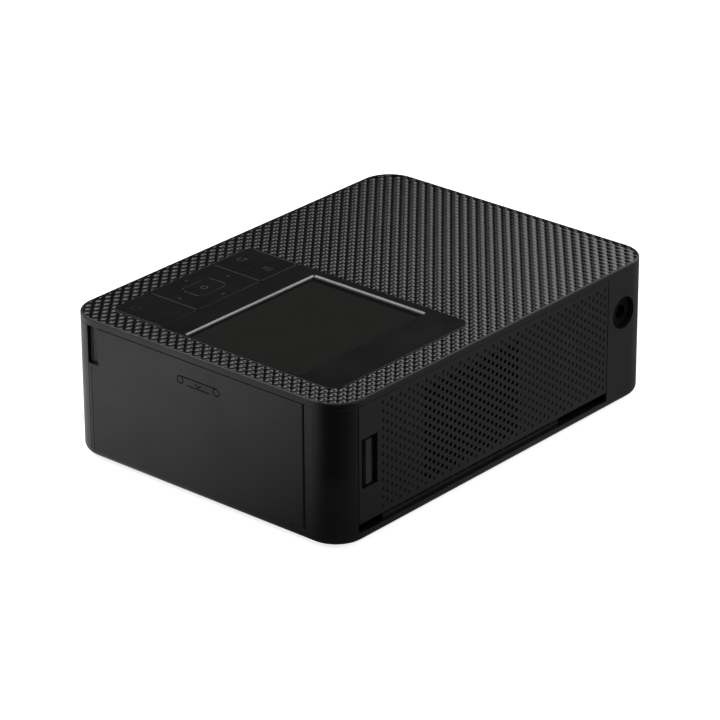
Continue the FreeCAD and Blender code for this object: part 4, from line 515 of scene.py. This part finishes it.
def flat_band(bm, line, width, closed):
    """A flat band that follows a line of points."""
    points = [Vector(point) for point in line]
    count = len(points)
    edges = []
    for index, here in enumerate(points):
        before = points[index - 1] if closed or index else here
        after = points[(index + 1) % count] if closed or index < count - 1 else here
        into = (here - before).normalized() if here != before else (after - here).normalized()
        out = (after - here).normalized() if here != after else into
        along = (into + out).normalized()
        reach = width / 2 / max(along.dot(into), MITRE_LIMIT)
        normal = Vector((-along.y, along.x))
        edges.append((bm.verts.new((*(here + normal * reach), 0.0)),
                      bm.verts.new((*(here - normal * reach), 0.0))))
    last = count if closed else count - 1
    for index in range(last):
        a, b = edges[index], edges[(index + 1) % count]
        bm.faces.new((a[0], a[1], b[1], b[0]))


def sign_code(lines, stroke, height, facing, at):
    """Mesh code for a sign: lines of (points, closed), raised by height."""
    def build(bm):
        for line, closed in lines:
            flat_band(bm, line, stroke, closed)
        top = bmesh.ops.extrude_face_region(bm, geom=bm.faces[:])["geom"]
        lifted = [item for item in top if isinstance(item, bmesh.types.BMVert)]
        for vertex in bm.verts:
            vertex.co.z = -SIGN_SINK
        for vertex in lifted:
            vertex.co.z = height
        right, up, out = (Vector(axis) for axis in FACING[facing])
        turn = Matrix((right, up, out)).transposed().to_4x4()
        bmesh.ops.transform(bm, matrix=Matrix.Translation(at) @ turn, verts=bm.verts)
    return build


def sign(name, body, lines, at, facing="up", look="mark_grey",
         stroke=SIGN_STROKE, height=SIGN_HEIGHT):
    mesh_piece(name, body, look, sign_code(lines, stroke, height, facing, at), smooth=False)


def on_key(key, from_left, from_front):
    """A place on a key, flush with the panel, measured from the key's front left corner."""
    left, front, _ = box_of(key)[0]
    return left + from_left, front + from_front, PANEL_TOP


def arc(cx, cy, radius, start, end, steps):
    turn = [math.radians(start + (end - start) * k / steps) for k in range(steps + 1)]
    return [(cx + radius * math.cos(a), cy + radius * math.sin(a)) for a in turn]


def circle(cx, cy, radius, steps=24):
    return arc(cx, cy, radius, 0, 360, steps)[:-1]


def chevron(turn):
    """An arrow head that points to the rear, turned by so many degrees."""
    half = CHEVRON_SIZE / 2
    spin = Matrix.Rotation(math.radians(turn), 2)
    corners = (Vector((-half, -half / 2)), Vector((0, half / 2)), Vector((half, -half / 2)))
    return [tuple(spin @ corner) for corner in corners]


LIST_SIGN = [(((-1.6, y), (1.6, y)), False) for y in (-1.5, 0.0, 1.5)]
RETURN_SIGN = [
    (((-0.9, 1.6), (-1.9, 0.7), (-0.9, -0.2)), False),
    (((-1.9, 0.7), (0.7, 0.7), *arc(0.7, -0.45, 1.15, 90, -90, 10), (-1.2, -1.6)), False),
]
RING_SIGN = [(circle(0, 0, 1.25), True)]
START_SIGN = [(arc(0, 0, 1.9, 120, 420, 24), False), (((0, 0.6), (0, 2.5)), False)]
CASSETTE_SIGN = [
    (circle(-8.8, 0, 1.45), True), (circle(8.8, 0, 1.45), True),
    (((-8.8, 1.45), (8.8, 1.45)), False), (((-5.2, -1.45), (5.2, -1.45)), False),
    (((-1.5, 0.35), (0, -0.75), (1.5, 0.35)), False),
]
SUPPLY_SIGN = [
    (circle(0, 0, 1.15), True), (circle(0, 0, 0.3, 12), True),
    (((-4.3, 0), (-1.15, 0)), False), (((1.15, 0), (4.3, 0)), False),
]

sign("menu_mark", "menu_rocker", LIST_SIGN, on_key("menu_rocker", 10.2, 18.6))
sign("return_mark", "menu_rocker", RETURN_SIGN, on_key("menu_rocker", 9.9, 5.45))
sign("centre_mark", "ok_button", RING_SIGN, on_key("ok_button", 7.35, 5.0))
for label, turn, from_left, from_front in (("rear", 0, 17.35, 21.7), ("front", 180, 17.35, 2.8),
                                           ("left", 90, 3.95, 12.0), ("right", -90, 30.75, 12.1)):
    sign(f"arrow_{label}_mark", "dpad", [(chevron(turn), False)],
         on_key("dpad_plate", from_left, from_front))
sign("start_mark", "print_button", START_SIGN, on_key("print_button", 13.25, 6.1),
     look="faint_grey")

# The door's sign stands near its top and a little behind its middle.
DOOR_SIGN_BEHIND = 1.5
DOOR_SIGN_BELOW = 9.05
(_, door_front, _), (door_side, door_back, door_top) = box_of("ink_door")
door_place = (door_side, (door_front + door_back) / 2 + DOOR_SIGN_BEHIND,
              door_top - DOOR_SIGN_BELOW)
# The pictogram is moulded in the door's own plastic; its strokes wear painted shade that stands in
# for the shade of the relief.
sign("door_mark", "ink_door", CASSETTE_SIGN, door_place, facing="right",
     look="mark_black", stroke=0.45, height=0.01)

# The sign of the power inlet stands above it, on the back of the shell.
SUPPLY_SIGN_ABOVE = 9.6
(jack_left, _, jack_bottom), (jack_right, _, jack_top) = box_of("dc_jack")
shell_back = box_of("base_shell")[1][1]
supply_place = ((jack_left + jack_right) / 2, shell_back,
                (jack_bottom + jack_top) / 2 + SUPPLY_SIGN_ABOVE)
sign("supply_mark", "printer_body", SUPPLY_SIGN, supply_place, facing="back",
     look="faint_grey")


# Floor

FLOOR_WIDTH = 8.0
FLOOR_COLOUR = (0.80, 0.80, 0.80)
FLOOR_ROUGHNESS = 0.9
FLOOR_SEEN_WHITE = 0.80
BLACK = (0.0, 0.0, 0.0)

# Painted reflection: how white the floor glows in the object's own reflections, where its lit
# colour is not seen. It fades to black towards the rear right, a painted shade that stands in for
# the object's shadow on the floor, as beside a black studio flag. (place in mm, white)
PAINTED_GLOW_ALONG = ((-95.0, 1.0), (62.0, 0.01))
PAINTED_GLOW_ACROSS = ((-10.0, 0.26), (130.0, 0.01))


def floor_material():
    """Pale paper: white to the camera, and in the object's reflections a painted glow that fades to
    black towards the rear right.
    """
    made = bpy.data.materials.new("pale_floor")
    made.use_nodes = True
    tree = made.node_tree
    shader = tree.nodes["Principled BSDF"]
    shader.inputs["Roughness"].default_value = FLOOR_ROUGHNESS
    shader.inputs["Specular IOR Level"].default_value = 0.0
    path = node(tree, "LightPath")
    mirrored = path.outputs["Is Glossy Ray"]
    # In reflections the floor's lit colour is black; a painted glow takes its place.
    tree.links.new(two_colours(tree, mirrored, FLOOR_COLOUR, BLACK), shader.inputs["Base Color"])
    place = split_up(tree, "Object")
    painted_glow = calculated(tree, "MAXIMUM", ramp(tree, place["Y"], PAINTED_GLOW_ALONG, MM),
                         ramp(tree, place["X"], PAINTED_GLOW_ACROSS, MM))
    glow = calculated(tree, "ADD", calculated(tree, "MULTIPLY", seen(tree, path), FLOOR_SEEN_WHITE),
                      calculated(tree, "MULTIPLY", mirrored, painted_glow))
    white = node(tree, "Emission")
    tree.links.new(glow, white.inputs["Strength"])
    both = node(tree, "AddShader")
    tree.links.new(shader.outputs["BSDF"], both.inputs[0])
    tree.links.new(white.outputs["Emission"], both.inputs[1])
    tree.links.new(both.outputs["Shader"], tree.nodes["Material Output"].inputs["Surface"])
    return made


bpy.ops.mesh.primitive_plane_add(size=FLOOR_WIDTH, location=(0, 0, 0))
floor = bpy.context.active_object
floor.name = "floor"
floor.data.materials.append(floor_material())


# World

# How much light the world gives to dull surfaces, where 1 is white.
WORLD_FILL = 0.05

# How white it looks in reflections: half white at the horizon and dim above it, and
# only on the far side. (part of the direction, white)
WORLD_HORIZON = ((0.0, 0.5), (0.15, 0.04))
WORLD_FLAG = ((-0.2, 1.0), (0.2, 0.0))


def studio_world():
    """White to the camera, faint as light, and in reflections pale low on the far side."""
    made = bpy.data.worlds.new("studio")
    made.use_nodes = True
    tree = made.node_tree
    background = tree.nodes["Background"]
    way = split_up(tree, "Generated")
    near = calculated(tree, "ADD", way["X"], way["Y"])
    band = calculated(tree, "MULTIPLY", ramp(tree, way["Z"], WORLD_HORIZON),
                      ramp(tree, near, WORLD_FLAG))
    path = node(tree, "LightPath")
    mirrored = path.outputs["Is Glossy Ray"]
    shiny = calculated(tree, "MULTIPLY", mirrored, band)
    dull = calculated(tree, "MULTIPLY", calculated(tree, "SUBTRACT", 1.0, mirrored), WORLD_FILL)
    light = calculated(tree, "ADD", shiny, dull)
    tree.links.new(calculated(tree, "MAXIMUM", seen(tree, path), light),
                   background.inputs["Strength"])
    background.inputs["Color"].default_value = (1.0, 1.0, 1.0, 1.0)
    return made


bpy.context.scene.world = studio_world()


# Lamps

def softbox(name, azimuth, elevation, distance, width, tall, radiance):
    """An area lamp that faces the object from a direction in degrees, round from +X."""
    lamp = bpy.data.lights.new(name, "AREA")
    lamp.shape = "RECTANGLE"
    lamp.size = width
    lamp.size_y = tall
    lamp.energy = radiance * math.pi * width * tall
    holder = bpy.data.objects.new(name, lamp)
    bpy.context.scene.collection.objects.link(holder)
    turn, lift = math.radians(azimuth), math.radians(elevation)
    way = Vector((math.cos(turn) * math.cos(lift), math.sin(turn) * math.cos(lift), math.sin(lift)))
    holder.location = way * distance
    holder.rotation_mode = "QUATERNION"
    holder.rotation_quaternion = way.to_track_quat("Z", "Y")
    holder.visible_camera = False


softbox("front_softbox", azimuth=-62.0, elevation=50.0, distance=0.9, width=1.1, tall=0.66,
        radiance=2.3)
softbox("left_softbox", azimuth=172.5, elevation=30.0, distance=0.9, width=1.28, tall=0.7,
        radiance=1.4)
softbox("high_softbox", azimuth=236.0, elevation=55.0, distance=0.98, width=0.4, tall=0.36,
        radiance=2.3)
softbox("rear_softbox", azimuth=80.0, elevation=36.0, distance=1.0, width=1.8, tall=0.66,
        radiance=1.0)


# Camera

# It looks at the middle of the CAD box, and is shifted a little across its own view.
CAMERA_AZIMUTH = math.radians(130.750)
CAMERA_ELEVATION = math.radians(24.757)
CAMERA_ROLL = math.radians(-0.258)
CAMERA_DISTANCE = 1434.993 * MM
CAMERA_AIM = (cad_box[0] + cad_box[1]) / 2
CAMERA_ASIDE = (-1.674 * MM, -3.413 * MM)
CAMERA_SENSOR = 36.0
CAMERA_FOCUS_PIXELS = 3806.0
FRAME_PIXELS = 720.0
CAMERA_CLIP = (0.05, 50.0)

backward = Vector((math.sin(CAMERA_AZIMUTH) * math.cos(CAMERA_ELEVATION),
                   -math.cos(CAMERA_AZIMUTH) * math.cos(CAMERA_ELEVATION),
                   math.sin(CAMERA_ELEVATION)))
level_right = (-backward).cross(Vector((0, 0, 1))).normalized()
level_up = level_right.cross(-backward)
right = level_right * math.cos(CAMERA_ROLL) + level_up * math.sin(CAMERA_ROLL)
upright = level_up * math.cos(CAMERA_ROLL) - level_right * math.sin(CAMERA_ROLL)
lens = bpy.data.cameras.new("camera")
lens.sensor_width = CAMERA_SENSOR
lens.lens = CAMERA_SENSOR * CAMERA_FOCUS_PIXELS / FRAME_PIXELS
lens.clip_start, lens.clip_end = CAMERA_CLIP
camera = bpy.data.objects.new("camera", lens)
bpy.context.scene.collection.objects.link(camera)
camera.rotation_mode = "QUATERNION"
camera.rotation_quaternion = Matrix((right, upright, backward)).transposed().to_quaternion()
camera.location = (CAMERA_AIM + backward * CAMERA_DISTANCE
                   + right * CAMERA_ASIDE[0] + upright * CAMERA_ASIDE[1])
bpy.context.scene.camera = camera

bpy.context.scene.view_settings.view_transform = "Standard"
